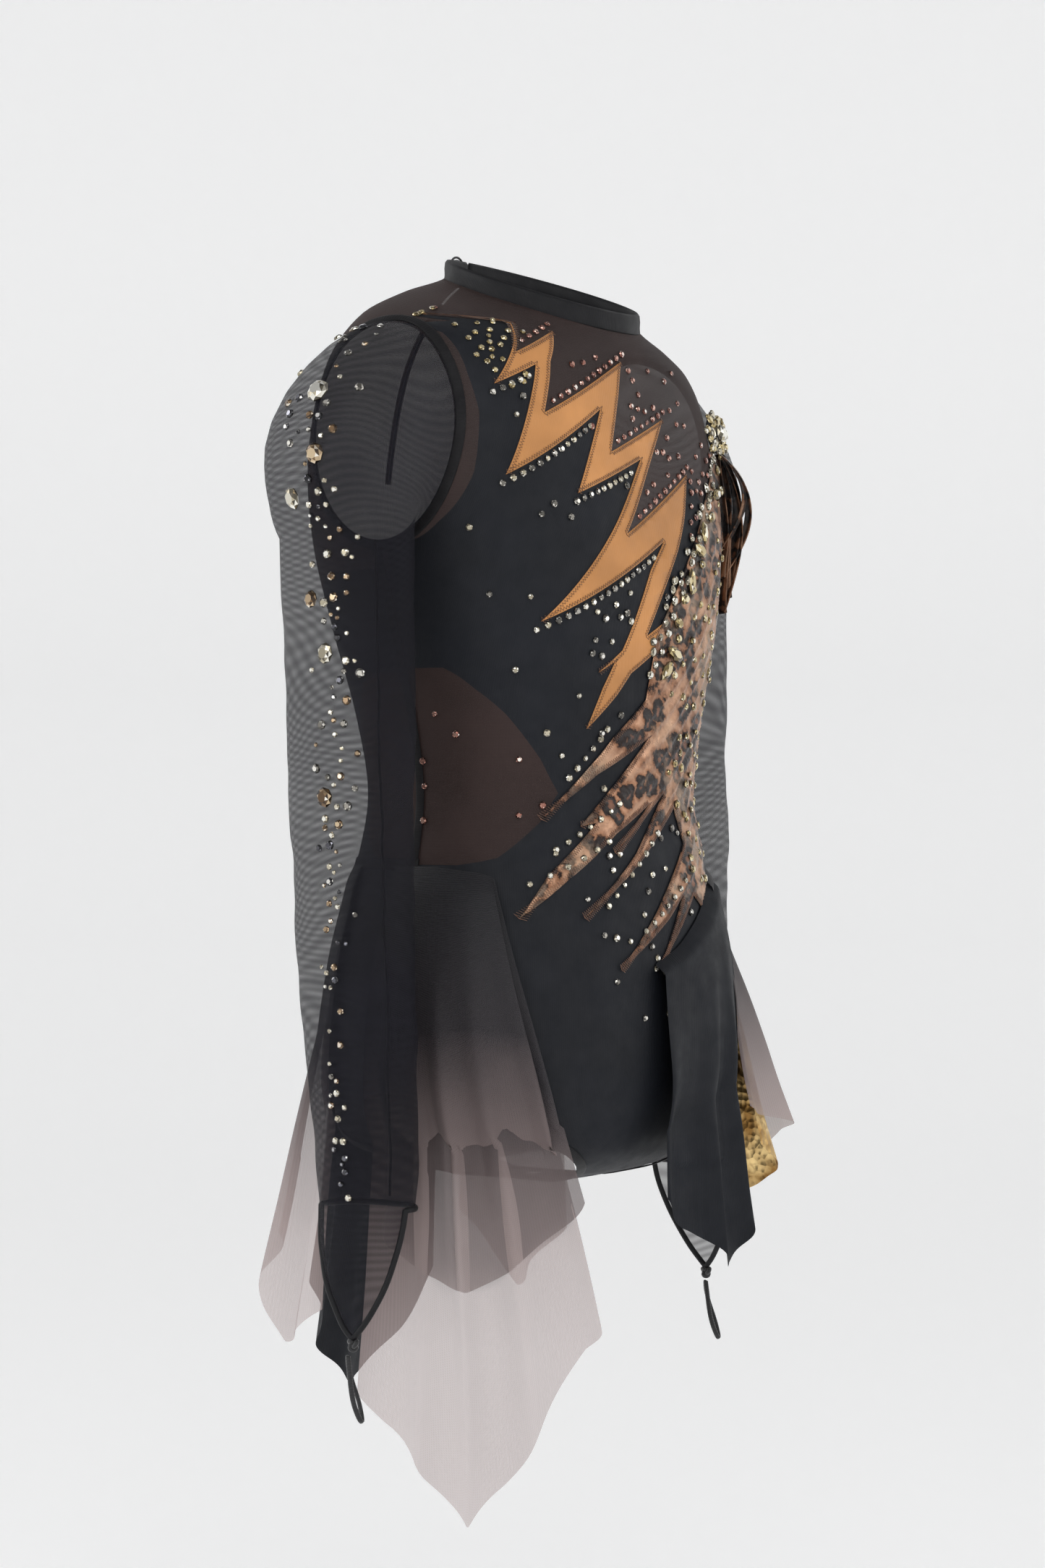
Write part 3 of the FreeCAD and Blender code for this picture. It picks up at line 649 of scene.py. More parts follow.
YOKE = ([(STRAP_INNER_X, 40), (STRAP_INNER_X, -12)] + ZIGZAG_TOP[:10]
        + [(56, -110), (99, -74), (112, -96), (120, -150), (150, -150), (150, 40)])
ARMHOLE_MESH = [(-106, 40), (-106, -10), (-111, -28), (-112, -50), (-111, -71), (-115, -103),
                (-121, -128), (-124, -150), (-150, -150), (-150, 40)]
SIDE_INSERT = [(-150, -203), (-107, -204), (-100, -215), (-90, -228), (-74, -252), (-65, -270),
               (-74, -285), (-92, -304), (-101, -308), (-150, -308)]
BACK_YOKE_EDGE = [(150, -150), (110, -152), (60, -176), (0, -184)]
BACK_INSERT_EDGE = [(-150, -203), (-104, -206), (-88, -228), (-76, -258), (-84, -290), (-100, -308),
                    (-150, -308)]


# ---- body panels ----------------------------------------------------------------------------
PANEL_SPACING, PANEL_STEP = 4.2, 2.0       # between levels in millimetres, round the body in degrees
LEFT, BACK, RIGHT = 0, 90, -180            # angles; the panels' flat map is cut at the centre back
BACK_YOKE_LEVEL = -184.0
GUSSET_LEVEL, GUSSET_HALF_WIDTH, GUSSET_FRONT, GUSSET_BACK = -474, 30, -20, 40
UNDERSIDE_RINGS = 10


def without_repeats(outline):
    return [p for k, p in enumerate(outline) if p != outline[k - 1]]


def make_body():
    """The sewn panels, cut out of one smooth surface so that their edges meet."""
    back_yoke = without_repeats(placed(BACK_YOKE_EDGE, 1, closed=False)[:-1])
    back_yoke += [(BACK, BACK_YOKE_LEVEL), (BACK, 0.0), (LEFT, 0.0)]
    insert_back = placed(BACK_INSERT_EDGE, 1)
    slit = [place(SLIT_HALF_WIDTH, z, 1) for z in range(30, -SLIT_LENGTH, -3)]
    slit = without_repeats([(min(u, BACK), min(v, 0.0)) for u, v in slit])
    slit += [(BACK, slit[-1][1]), (BACK, 0.0)]
    holes = [edge for left in (armhole(), leg_line(0), slit) for edge in (left, other_side(left))]
    front = {"yoke_front_mesh": placed(YOKE), "armhole_mesh_right": placed(ARMHOLE_MESH),
             "side_insert_front_mesh": placed(SIDE_INSERT)}
    back = {"yoke_back_mesh": back_yoke, "side_insert_back_mesh": insert_back}
    yoke_right = other_side(back_yoke)
    side_lines = [[(u, v) for v in (0, BASE + 1)] for u in (RIGHT, LEFT)]
    levels = rows_of_levels(0.0, BASE, PANEL_SPACING)
    levels += [BASE - 5 * k for k in range(1, UNDERSIDE_RINGS)]
    grid = [(u, v) for v in levels for u in np.arange(BACK - 360 + PANEL_STEP, BACK, PANEL_STEP)]
    border = [(BACK - 360, v) for v in levels] + [(BACK, v) for v in reversed(levels)]
    outlines = [border] + holes + list(front.values()) + list(back.values()) + [yoke_right] + side_lines
    points, faces = triangles(outlines, grid)

    lycra_panels = ("bodice_front_lycra", "bodice_back_lycra", "crotch_gusset")
    panels = {name: [] for name in (*front, *back, *lycra_panels)}
    for face in faces:
        u, v = centre_of(points, face)
        if v < levels[-1] or v > 0 or any(inside((u, v), edge) for edge in holes):
            continue
        middle = on_torso(u, v)
        if (v < GUSSET_LEVEL and abs(middle.x) < GUSSET_HALF_WIDTH
                and GUSSET_FRONT < middle.y < GUSSET_BACK):
            name = "crotch_gusset"
        elif RIGHT < u < LEFT:
            name = next((n for n, edge in front.items() if inside((u, v), edge)), "bodice_front_lycra")
        elif inside((u, v), back_yoke) or inside((u, v), yoke_right):
            name = "yoke_back_mesh"
        elif inside((u, v), insert_back):
            name = "side_insert_back_mesh"
        else:
            name = "bodice_back_lycra"
        panels[name].append(tuple(face))
    for name, chosen in panels.items():
        used = sorted({k for face in chosen for k in face})
        number = {k: i for i, k in enumerate(used)}
        material, slot = (BLACK_LYCRA, "black_lycra") if name in lycra_panels else (YOKE_MESH, "yoke_mesh")
        panel = new_piece(
            name + "_cloth", [on_torso(*points[k]) for k in used],
            [tuple(number[k] for k in face) for face in chosen], material,
            uvs=[(points[k][0] * ANGLE_SCALE, points[k][1]) for k in used])
        modify(panel, "WELD", merge_threshold=0.00005)
        sew(panel, slot, name)


def stitches(name, outline, offset, inset, amplitude, pitch, radius, material, closed=True):
    """A zigzag of thread along an outline of (x, z) corners, a little inside it."""
    line = split(outline, pitch / 2, closed)
    area = sum(x0 * z1 - x1 * z0 for (x0, z0), (x1, z1) in zip(line, line[1:] + line[:1]))
    inwards = 1 if area > 0 else -1
    path, normals = [], []
    for k, (x, z) in enumerate(line):
        ahead = line[(k + 1) % len(line)] if closed else line[min(k + 1, len(line) - 1)]
        behind = line[k - 1] if closed else line[max(k - 1, 0)]
        run = math.hypot(ahead[0] - behind[0], ahead[1] - behind[1]) or 1
        across = inset + (amplitude if k % 2 else 0)
        x += -(ahead[1] - behind[1]) / run * across * inwards
        z += (ahead[0] - behind[0]) / run * across * inwards
        angle, level = place(x, z)
        path.append(off_torso(angle, level, offset(angle, level) if callable(offset) else offset))
        normals.append(normal_at(angle, level))
    profile = [(radius * math.cos(a), radius * math.sin(a)) for a in circle(4)]
    points, faces = sweep(path, normals, profile + profile[:1], closed)
    return new_piece(name, points, faces, material)


# ---- bands: binding and seams ---------------------------------------------------------------
SEAM_LIFT = 0.25
NECK_STEPS, NECK_GAP = 144, 1.2          # the neckband stops this many degrees short of the centre back
SEAM_WIDTH, SEAM_SWELL, SEAM_STEP = 6.0, 0.6, 2
WAIST_LEVEL = -308.0
SIDE_SEAM_LEVELS, SIDE_SEAM_SHIFT = (-140, -440, -4), 1.5


def make_bands():
    path, normals = [], []
    for k in range(NECK_STEPS + 1):
        angle = BACK + NECK_GAP + ((360 - 2 * NECK_GAP) * k / NECK_STEPS)
        path.append(on_torso(angle, 0.0))
        a = math.radians(angle)
        normals.append(Vector((math.cos(a), math.sin(a), 0)))
    # the folded binding's section, as shares of its height and of half its thickness
    height = NECKBAND_HEIGHT
    profile = [(-1.0, -1), (height * 0.4, -1.2), (height * 0.85, -1), (height, 0), (height * 0.85, 1),
               (height * 0.5, 1.35), (height * 0.12, 1.2), (-1.5, 1.4), (-2.2, 1), (-1.0, -1)]
    points, faces = sweep(path, normals, [(-s, h) for s, h in profile], False)
    ring = len(profile) - 1
    faces += [tuple(range(ring))[::-1], tuple(len(points) - ring + k for k in range(ring))]
    neck = new_piece("neckband_fold", points, faces, BINDING,
                     uvs=[(k // ring * 2.4, k % ring) for k in range(len(points))])
    sew(neck, "binding", "neckband")

    edge = [place(SLIT_HALF_WIDTH, z, 1) for z in range(4, -SLIT_LENGTH - 2, -3)]
    for name, line in (("left", edge), ("right", other_side(edge))):
        sew(band("back_slit_binding_" + name, line, 2.6, BINDING, SEAM_LIFT, False), "binding")

    leg, arm = leg_line(1.4), armhole(2.6)
    for name, left, width, material in (("leg_binding_", leg, 5.4, BINDING),
                                        ("armhole_seam_", arm, 5.6, SEAM_BAND)):
        for side, line in (("left", left), ("right", other_side(left))):
            trim = band(name + side + "_band", line, width, material, SEAM_LIFT, swell=0.8)
            sew(trim, "binding", name + side)
    for name, angle in (("side_seam_right", RIGHT - SIDE_SEAM_SHIFT),
                        ("side_seam_left", LEFT + SIDE_SEAM_SHIFT)):
        line = [(angle, level) for level in range(*SIDE_SEAM_LEVELS)]
        trim = band(name + "_band", line, 5.0, SEAM_BAND, SEAM_LIFT, False, SEAM_SWELL)
        sew(trim, "binding", name)
    # the skirt's seam runs round the back from the right side, then over the left side to the front
    round_back = [(RIGHT - SEAM_STEP * k, WAIST_LEVEL) for k in range(91)]
    round_left = [(BACK - SEAM_STEP * k, WAIST_LEVEL) for k in range(46)]
    round_left += [(LEFT - SEAM_STEP * k, WAIST_LEVEL) for k in range(30)]
    trims = [band("seam", line, SEAM_WIDTH, SEAM_BAND, SEAM_LIFT, False, SEAM_SWELL)
             for line in (round_back, round_left)]
    sew(joined("skirt_seam_band", trims), "binding", "skirt_seam")


# ---- appliques ------------------------------------------------------------------------------
SWEEP_X, SWEEP_Z = -190, 40      # the leopard cloth's folds curve about this point
FOLD_WIDTH, FOLD_HEIGHT = 8.5, 1.5
LEOPARD_LIFT = 1.0


def edge_distance(x, z, outline):
    """How far a point is from the nearest side of an outline."""
    nearest = 1e9
    for (x0, z0), (x1, z1) in zip(outline, outline[1:] + outline[:1]):
        run = (x1 - x0) ** 2 + (z1 - z0) ** 2
        t = max(0, min(1, ((x - x0) * (x1 - x0) + (z - z0) * (z1 - z0)) / run))
        nearest = min(nearest, math.hypot(x - x0 - t * (x1 - x0), z - z0 - t * (z1 - z0)))
    return nearest


def ruching(angle, level):
    """Height of the leopard cloth's gathered folds."""
    point = on_torso(angle, level)
    radius = math.hypot(point.x - SWEEP_X, point.z - SWEEP_Z)
    turn = math.degrees(math.atan2(point.z - SWEEP_Z, point.x - SWEEP_X))
    drift = 5.0 * noise.noise(Vector((radius * 0.02, turn * 0.07, 3.1)))
    fold = 0.5 + 0.5 * math.sin((radius + drift) / FOLD_WIDTH * math.tau)
    fine = 0.5 + 0.5 * math.sin((radius * 1.13 + 3 * drift) / FOLD_WIDTH * math.tau * 2.3 + turn * 0.25)
    pucker = noise.noise(Vector((radius * 0.09, turn * 0.45, 7.7)))
    height = FOLD_HEIGHT * (0.75 * fold**1.6 + 0.3 * fine + 0.35 * pucker)
    fade = min(1, edge_distance(point.x, point.z, LEOPARD_EDGE) / 5.0)
    return max(height, -0.3) * fade


def make_appliques():
    tan = patch("lightning_cloth", placed(LIGHTNING, spacing=2.0), 4.0, 0.55, TAN_LYCRA)
    modify(tan, "SOLIDIFY", thickness=0.0005, offset=-1.0)
    sew(tan, "tan_applique", "lightning_applique")
    sewn = stitches("lightning_stitching", LIGHTNING, 0.65, 0.5, 1.7, 1.7, 0.2, TAN_THREAD)
    sew(sewn, "tan_applique")

    foil = patch("leopard_cloth", placed(LEOPARD_EDGE, spacing=1.6), 1.9, LEOPARD_LIFT, LEOPARD, ruching)
    modify(foil, "SOLIDIFY", thickness=0.0006, offset=-1.0)
    sew(foil, "leopard_foil", "leopard_applique")
    claws = LEOPARD_RIGHT[-1:] + CLAWS + LEOPARD_LEFT[:1]
    sewn = stitches("leopard_stitching", claws, lambda u, v: LEOPARD_LIFT + 0.15 + 0.6 * ruching(u, v),
                    0.2, 2.6, 1.3, 0.22, COPPER_THREAD, False)
    sew(sewn, "leopard_foil")


# ---- sleeves --------------------------------------------------------------------------------
ARMPIT_X, ARMPIT_Z = -128, -137
SLEEVE_X = -153
# The right sleeve's sections: level, half width in x, half width in y, middle in y
SLEEVE = [(-137, 25, 40, 18), (-235, 25, 38, 16), (-386, 24, 33, 10), (-462, 20.5, 29, 5), (-560, 17, 22, 2)]
HEAD_ROWS, ARM_ROWS, AROUND = 16, 92, 96
SEAM_COLUMN = 72                 # the column of the sleeve's mesh that its long seam follows
CUFF_Z, FLAP_LENGTH, FLAP_ANGLE, FLAP_SPREAD = -484, 66, 94, 76
# The sleeve head's rings, by how far each has turned about the armpit: height, and half depth
HEAD_HEIGHT = [(0, 116), (20, 108), (32, 98), (48, 82), (66, 64), (90, 50)]
HEAD_DEPTH = [(0, 45), (30, 46), (60, 43), (90, 40)]
HEAD_LEVELS = [(-20, 0), (-36, 20), (-54, 32), (-82, 48), (-111, 66), (-137, 90)]      # level, turn
FOLDS_FROM = 60                  # the cloth's creases reach full height this far below the armpit
ELBOW_LEVEL = -300


def between(table, value):
    """A straight-line reading of a table of (at, value...) rows."""
    rising = sorted(table)
    at = [row[0] for row in rising]
    found = [float(np.interp(value, at, [row[k] for row in rising])) for k in range(1, len(rising[0]))]
    return found if len(found) > 1 else found[0]


def eased(t):
    t = max(0.0, min(1.0, t))
    return t * t * (3 - 2 * t)


def cuff_level(theta):
    """The cuff's edge: level on the palm side, a pointed flap on the back of the hand."""
    off = abs((theta - FLAP_ANGLE + 180) % 360 - 180) / FLAP_SPREAD
    if off >= 1:
        return CUFF_Z
    return CUFF_Z - FLAP_LENGTH * (0.5 * (1 - off) ** 0.66 + 0.5 * (1 - off**1.6) ** 0.7)


def arm_point(theta, level):
    """A point of the right sleeve below the armpit, with its creases."""
    half_x, half_y, middle = between(SLEEVE, level)
    turn = math.radians(theta)
    x, y = SLEEVE_X - half_x * math.sin(turn), middle + half_y * math.cos(turn)
    grow = min(1, (ARMPIT_Z - level) / FOLDS_FROM)
    crease = noise.noise(Vector((x * 0.03, y * 0.03, level * 0.021))) * 1.6
    pulls = noise.noise(Vector((turn * 1.6, 4.0, level * 0.05 + math.sin(turn) * 1.2))) * 1.1
    elbow = (math.exp(-((level - ELBOW_LEVEL) / 60) ** 2)
             * math.sin(level * 0.28 + 1.5 * math.cos(turn)) * 0.6)
    swell = grow * (crease + pulls + elbow * (0.5 - 0.5 * math.sin(turn)))
    return Vector((x - swell * math.sin(turn), y + swell * math.cos(turn), level))


def head_point(theta, tilt):
    """A point of the sleeve head, whose rings turn about the armpit from the armhole down to the arm."""
    turn, down = math.radians(theta), math.radians(tilt)
    half = between(HEAD_HEIGHT, tilt) / 2
    depth = between(HEAD_DEPTH, tilt)
    reach = half * (1 + math.sin(turn))
    flat = Vector((ARMPIT_X - math.sin(down) * reach, ARMHOLE_Y + depth * math.cos(turn),
                   ARMPIT_Z + math.cos(down) * reach))
    angle, level = armhole_place(theta, 0.5)
    sewn = off_torso(angle, level, 0.9)
    return Vector((-sewn.x, sewn.y, sewn.z)).lerp(flat, eased(tilt / 45))


def make_sleeve(side, name):
    """One sleeve. side is -1 for the right and 1 for the left."""
    def mirrored(p):
        return Vector((-side * p[0], p[1], p[2]))

    thetas = [360 * j / AROUND for j in range(AROUND)]
    rows = [[head_point(theta, 90 * i / HEAD_ROWS) for theta in thetas] for i in range(HEAD_ROWS)]
    rows += [[arm_point(theta, ARMPIT_Z + (cuff_level(theta) - ARMPIT_Z) * (i / ARM_ROWS))
              for theta in thetas] for i in range(ARM_ROWS + 1)]
    points = [mirrored(p) for ring in rows for p in ring]
    faces = grid_faces(len(rows), AROUND, True)
    if side < 0:
        faces = [face[::-1] for face in faces]
    uvs = [((k % AROUND) * 2.1, k // AROUND * 4.0) for k in range(len(points))]
    sleeve = new_piece("sleeve_cloth_" + name, points, faces, SLEEVE_MESH, uvs=uvs)
    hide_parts("sleeve_" + name, "sleeve_head_" + name)

    seam_path = [mirrored(ring[SEAM_COLUMN]) for ring in rows[HEAD_ROWS:-1]]
    seam = tube("sleeve_seam_" + name, seam_path, 0.7, SEAM_BAND, sides=6)
    for piece in (sleeve, seam):
        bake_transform(piece)

    edge = [mirrored(arm_point(t, cuff_level(t))) for t in np.arange(0, 360, 2.5)]
    cuff = tube("cuff_cord_" + name, edge, 1.6, BINDING, closed=True)
    tip = min(edge, key=lambda p: p.z)
    # an overhand knot is a trefoil
    knot_path = [tip + Vector((1.1 * math.sin(3 * t), 1.15 * (math.sin(t) + 2 * math.sin(2 * t)) * 0.8,
                               -3.4 + 1.15 * (math.cos(t) - 2 * math.cos(2 * t)) * 0.8)) for t in circle(48)]
    knot = tube("cuff_knot_tied_" + name, knot_path, 1.25, BLACK_THREAD, closed=True)
    sew(cuff, "binding", "cuff_binding_" + name, body="sleeve_" + name)
    sew(knot, "binding", "cuff_knot_" + name, body="sleeve_" + name)

    low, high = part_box("finger_loop_" + name)
    middle_x, top = (low.x + high.x) / 2 / MM, high.z / MM
    length, loop_path = (high.z - low.z) / MM - 1.5, []
    for t in circle(56):
        down = 0.5 - 0.5 * math.cos(t)
        wide = (1.0 + 3.0 * eased(down * 1.2)) * math.sin(t)
        loop_path.append(Vector((middle_x + wide, 2 - 9 * down**1.5 + 1.2 * math.sin(t),
                                 top - 0.2 - length * down)))
    loop = tube("finger_loop_elastic_" + name, loop_path, 1.35, BLACK_THREAD, closed=True, flatten=0.6)
    sew(loop, "elastic_loop", "finger_loop_" + name, body="finger_loop_" + name)


# ---- skirt ----------------------------------------------------------------------------------
# Each panel's ribs: angle and level of its head, angle, stand-off and level of its hem
SKIRT_HEAD = 2.0
BODY_END = -462          # above this level the cloth lies on the body, below it hangs free
SEAM_SHARE = 0.04        # share of a panel's drop over which it leaves the seam
HIP_REACH, HANG_REACH = 90, 40     # the drops over which it gains its stand-off and comes free of the hip
RIGHT_OUTER = [(172, -309, 174, 10, -585), (178, -309, 184, 12, -612), (182, -309, 194, 15, -630),
               (186, -309, 203, 19, -649), (191, -310, 213, 15, -629), (196, -311, 224, 21, -598),
               (201, -312, 236, 13, -560), (206, -314, 243, 12, -548)]
RIGHT_INNER = [(174, -310, 178, 5, -505), (181, -310, 190, 9, -522), (188, -310, 202, 7, -530),
               (195, -311, 214, 10, -518), (202, -313, 228, 8, -500), (207, -315, 238, 7, -484)]
BACK_RIGHT = [(150, -309, 154, 9, -546), (144, -309, 147, 19, -560), (137, -309, 140, 26, -566),
              (130, -309, 131, 33, -532), (124, -309, 124, 29, -520), (118, -309, 118, 26, -512)]
BACK_BLACK = [(117, -309, 120, 9, -540), (109, -309, 110, 14, -566), (101, -309, 101, 19, -588),
              (93, -309, 92, 19, -606), (84, -309, 83, 15, -580), (74, -309, 70, 11, -546)]
BACK_LEFT = [(62, -309, 62, 24, -515), (55, -309, 53, 29, -528), (47, -309, 44, 24, -562),
             (40, -309, 37, 15, -545), (31, -309, 28, 9, -526)]
LEFT_BLACK = [(-95, -362, -97, 6, -486), (-88, -354, -92, 10, -500), (-81, -345, -86, 14, -514),
              (-73, -336, -81, 19, -527), (-66, -328, -76, 20, -516), (-60, -322, -71, 20, -503),
              (-53, -316, -66, 18, -488)]
LEFT_MESH = [(-59, -318, -60, 14, -444), (-50, -312, -52, 22, -450), (-41, -310, -43, 40, -456),
             (-34, -309, -36, 42, -462), (-26, -309, -28, 26, -484), (-17, -309, -19, 13, -500)]
LEFT_GOLD = [(-47, -314, -48, 22, -468), (-38, -311, -40, 36, -484), (-28, -310, -30, 22, -497),
             (-16, -309, -18, 9, -472)]
LEG_MIDDLE_Y, LEG_TOP = 10, -470


def spline(values, t):
    """A smooth reading of evenly spaced values, t from 0 to 1."""
    at = t * (len(values) - 1)
    k = min(int(at), len(values) - 2)
    s = at - k
    p = [values[max(min(k + j, len(values) - 1), 0)] for j in (-1, 0, 1, 2)]
    return 0.5 * (2 * p[1] + (p[2] - p[0]) * s + (2 * p[0] - 5 * p[1] + 4 * p[2] - p[3]) * s * s
                  + (3 * p[1] - p[0] - 3 * p[2] + p[3]) * s**3)


def pointed(values, t):
    """A straight-line reading of evenly spaced values."""
    return float(np.interp(t * (len(values) - 1), range(len(values)), values))


def skirt_cloth(name, ribs, lift, hip_offset, folds, depth, seed, material, columns=72, rows=84):
    """A panel hanging from the waist, its folds growing from nothing at the seam to the hem."""
    measures = list(zip(*ribs))
    points = []
    for i in range(rows):
        down = i / (rows - 1)
        for j in range(columns):
            t = j / (columns - 1)
            head_angle, head_level, hem_angle, flare = [spline(measures[k], t) for k in range(4)]
            hem_level = 0.6 * pointed(measures[4], t) + 0.4 * spline(measures[4], t)
            head = off_torso(head_angle, head_level, SKIRT_HEAD * 0.3 + lift * 0.3)
            hip = on_torso(hem_angle, HIP_LEVEL)
            away = Vector((hip.x, hip.y - LEG_MIDDLE_Y, 0)).normalized()
            hem = Vector((hip.x, hip.y, hem_level)) + away * flare
            level = head.z + (hem.z - head.z) * down
            angle = head_angle + (hem_angle - head_angle) * down
            point = head.lerp(hem, down)
            if level > BODY_END:
                near = lift + SKIRT_HEAD
                stand = near + (hip_offset - lift - SKIRT_HEAD) * eased((head.z - level) / HIP_REACH)
                if down <= SEAM_SHARE:
                    stand = stand * down / SEAM_SHARE + 1.0 * (1 - down / SEAM_SHARE)
                skin = off_torso(angle, level, stand)
                out_skin = math.hypot(skin.x, skin.y - LEG_MIDDLE_Y)
                out_now = math.hypot(point.x, point.y - LEG_MIDDLE_Y)
                if out_now < out_skin:
                    point.x, point.y = skin.x, skin.y
                else:
                    free = eased((head.z - level) / HANG_REACH)
                    point.x = skin.x + (point.x - skin.x) * free
                    point.y = skin.y + (point.y - skin.y) * free
            phase = t * folds * math.tau + seed + 0.8 * noise.noise(Vector((t * 3, down * 2, seed)))
            wide = 0.5 + 0.5 * math.sin(phase)
            fold = depth * eased(down * 1.3) ** 1.3 * (wide**1.2 - 0.25)
            ripple = 1.3 * eased(down * 2) * noise.noise(Vector((t * 9 + seed, down * 3, 1.0)))
            sway = depth * 0.35 * down * math.cos(phase)
            tangent = Vector((-away.y, away.x, 0))
            deepest = -0.8 if level > LEG_TOP else -9
            point += away * max(fold + ripple, deepest) + tangent * sway
            points.append(point)
    faces = grid_faces(rows, columns)
    width = (points[-1] - points[-columns]).length
    uvs = [(k % columns / columns * width, k // columns * 3.6) for k in range(len(points))]
    return new_piece(name, points, faces, material, uvs=uvs)


def make_skirt():
    """The skirt's panels, sewn to the waist seam and hanging below it."""
    right, back, left = "skirt_right", "skirt_back", "skirt_left"
    # name, ribs, stand-off at the waist and hip, folds, their depth, seed, material, body, flat size, area
    panels = [
        ("skirt_right_inner_mesh", RIGHT_INNER, 0.6, 4.0, 3.2, 4.0, 1.0, OMBRE_SHORT, right,
         (0.12, 0.22), 0.019),
        ("skirt_right_outer_mesh", RIGHT_OUTER, 3.0, 7.0, 4.1, 7.5, 2.2, OMBRE, right, (0.16, 0.345), 0.036),
        ("skirt_back_right_mesh", BACK_RIGHT, 1.5, 4.0, 2.2, 8.0, 0.4, OMBRE, back, (0.085, 0.262), 0.0162),
        ("skirt_back_lycra", BACK_BLACK, 1.5, 4.0, 2.8, 7.0, 2.0, BLACK_LYCRA, back, (0.13, 0.302), 0.032),
        ("skirt_back_left_mesh", BACK_LEFT, 1.5, 4.0, 2.0, 7.0, 3.0, OMBRE, back, (0.08, 0.257), 0.0147),
        ("skirt_left_gold", LEFT_GOLD, 0.4, 4.0, 1.6, 3.0, 0.6, GOLD_LAME, left, (0.065, 0.193), 0.0099),
        ("skirt_left_mesh", LEFT_MESH, 3.0, 7.0, 2.4, 5.0, 1.2, OMBRE_SIDE, left, (0.09, 0.19), 0.0136),
        ("skirt_left_lycra", LEFT_BLACK, 5.5, 10.0, 2.9, 8.5, 0.6, BLACK_LYCRA, left, (0.11, 0.222), 0.0168)]
    for name, ribs, lift, hip_offset, folds, depth, seed, material, body, flat, area in panels:
        cloth = skirt_cloth(name + "_panel", ribs, lift, hip_offset, folds, depth, seed, material)
        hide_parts(name)
        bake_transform(cloth)


# ---- stones ---------------------------------------------------------------------------------
# The rings of a round cut stone, from the girdle to the table: radius, height, share of a facet turned
CUT = [(1.0, 0.0, 0), (1.0, 0.14, 0), (0.82, 0.42, 0.5), (0.52, 0.62, 0)]
FACETS = 8


def stone_cluster(name, stones, material, seed):
    """Cut stones as one piece. Each is (point, normal, radius, length over width, turn)."""
    rng = random.Random(seed)
    points, faces, painted_glints = [], [], []
    for point, normal, radius, stretch, turn in stones:
        side = normal.cross(Vector((0, 0, 1)))
        side = side.normalized() if side.length > 0.01 else Vector((1, 0, 0))
        up = side.cross(normal).normalized()
        along = up * math.cos(turn) + side * math.sin(turn)
        across = side * math.cos(turn) - up * math.sin(turn)
        lean = across * rng.uniform(-0.12, 0.12) + along * rng.uniform(-0.12, 0.12)
        start = len(points)
        for reach, height, shift in CUT:
            for k in range(FACETS):
                a = math.tau * (k + shift) / FACETS
                pinch = 1 if stretch < 1.8 else 1 - 0.35 * math.sin(a) ** 2 * abs(math.sin(a))
                points.append(point + along * (radius * stretch * reach * math.sin(a))
                              + across * (radius * reach * math.cos(a) * pinch)
                              + (normal + lean) * (radius * height))
        for ring in range(len(CUT) - 1):
            for k in range(FACETS):
                a, b = start + ring * FACETS + k, start + ring * FACETS + (k + 1) % FACETS
                c, d = a + FACETS, b + FACETS
                faces += [(a, b, c), (b, d, c)] if CUT[ring + 1][2] else [(a, b, d), (a, d, c)]
                # each facet gets a random tone between painted shade and a painted glint
                painted_glints += [rng.random() ** 1.9, rng.random() ** 1.9]
        faces.append(tuple(start + (len(CUT) - 1) * FACETS + k for k in range(FACETS)))
        # the table facet gets a lighter painted glint
        painted_glints.append(rng.uniform(0.25, 1.0))
    piece = new_piece(name, points, faces, material, smooth=False)
    layer = piece.data.attributes.new("facet", "FLOAT", "FACE")
    layer.data.foreach_set("value", painted_glints)
    return piece


def on_front(x, z, lift):
    angle, level = place(x, z)
    normal = normal_at(angle, level)
    return on_torso(angle, level) + normal * lift, normal


def row(start, end, spacing, bend=0.0):
    """Evenly spaced places from start to end, bowed sideways by a share of the length."""
    (x0, z0), (x1, z1) = start, end
    count = max(2, round(math.hypot(x1 - x0, z1 - z0) / spacing) + 1)
    places = []
    for k in range(count):
        t = k / (count - 1)
        bow = bend * 4 * t * (1 - t)
        places.append((x0 + (x1 - x0) * t - (z1 - z0) * bow, z0 + (z1 - z0) * t + (x1 - x0) * bow))
    return places


def scatter(region, spacing, seed, keep=1.0, jitter=0.35):
    """Places spread over an outline at about the spacing."""
    rng = random.Random(seed)
    xs, zs = [p[0] for p in region], [p[1] for p in region]
    places, odd, z = [], False, max(zs)
    while z > min(zs):
        x = min(xs) + (spacing / 2 if odd else 0)
        while x < max(xs):
            spot = (x + rng.uniform(-jitter, jitter) * spacing, z + rng.uniform(-jitter, jitter) * spacing)
            if inside(spot, region) and rng.random() < keep:
                places.append(spot)
            x += spacing
        z -= spacing * 0.87
        odd = not odd
    return places


def thinned(places, gap, keep_off=(), clear=0.0):
    """Places no nearer together than the gap, and clear of the outlines in keep_off."""
    chosen = []
    for x, z in places:
        if any(math.hypot(x - a, z - b) < gap for a, b in chosen):
            continue
        if any(inside((x, z), edge) or edge_distance(x, z, edge) < clear for edge in keep_off):
            continue
        chosen.append((x, z))
    return chosen


STONE_LIFT = 0.35


def rows_along(corners, spacing):
    """Evenly spaced places along each side of an open line."""
    return [spot for start, end in zip(corners, corners[1:]) for spot in row(start, end, spacing)]


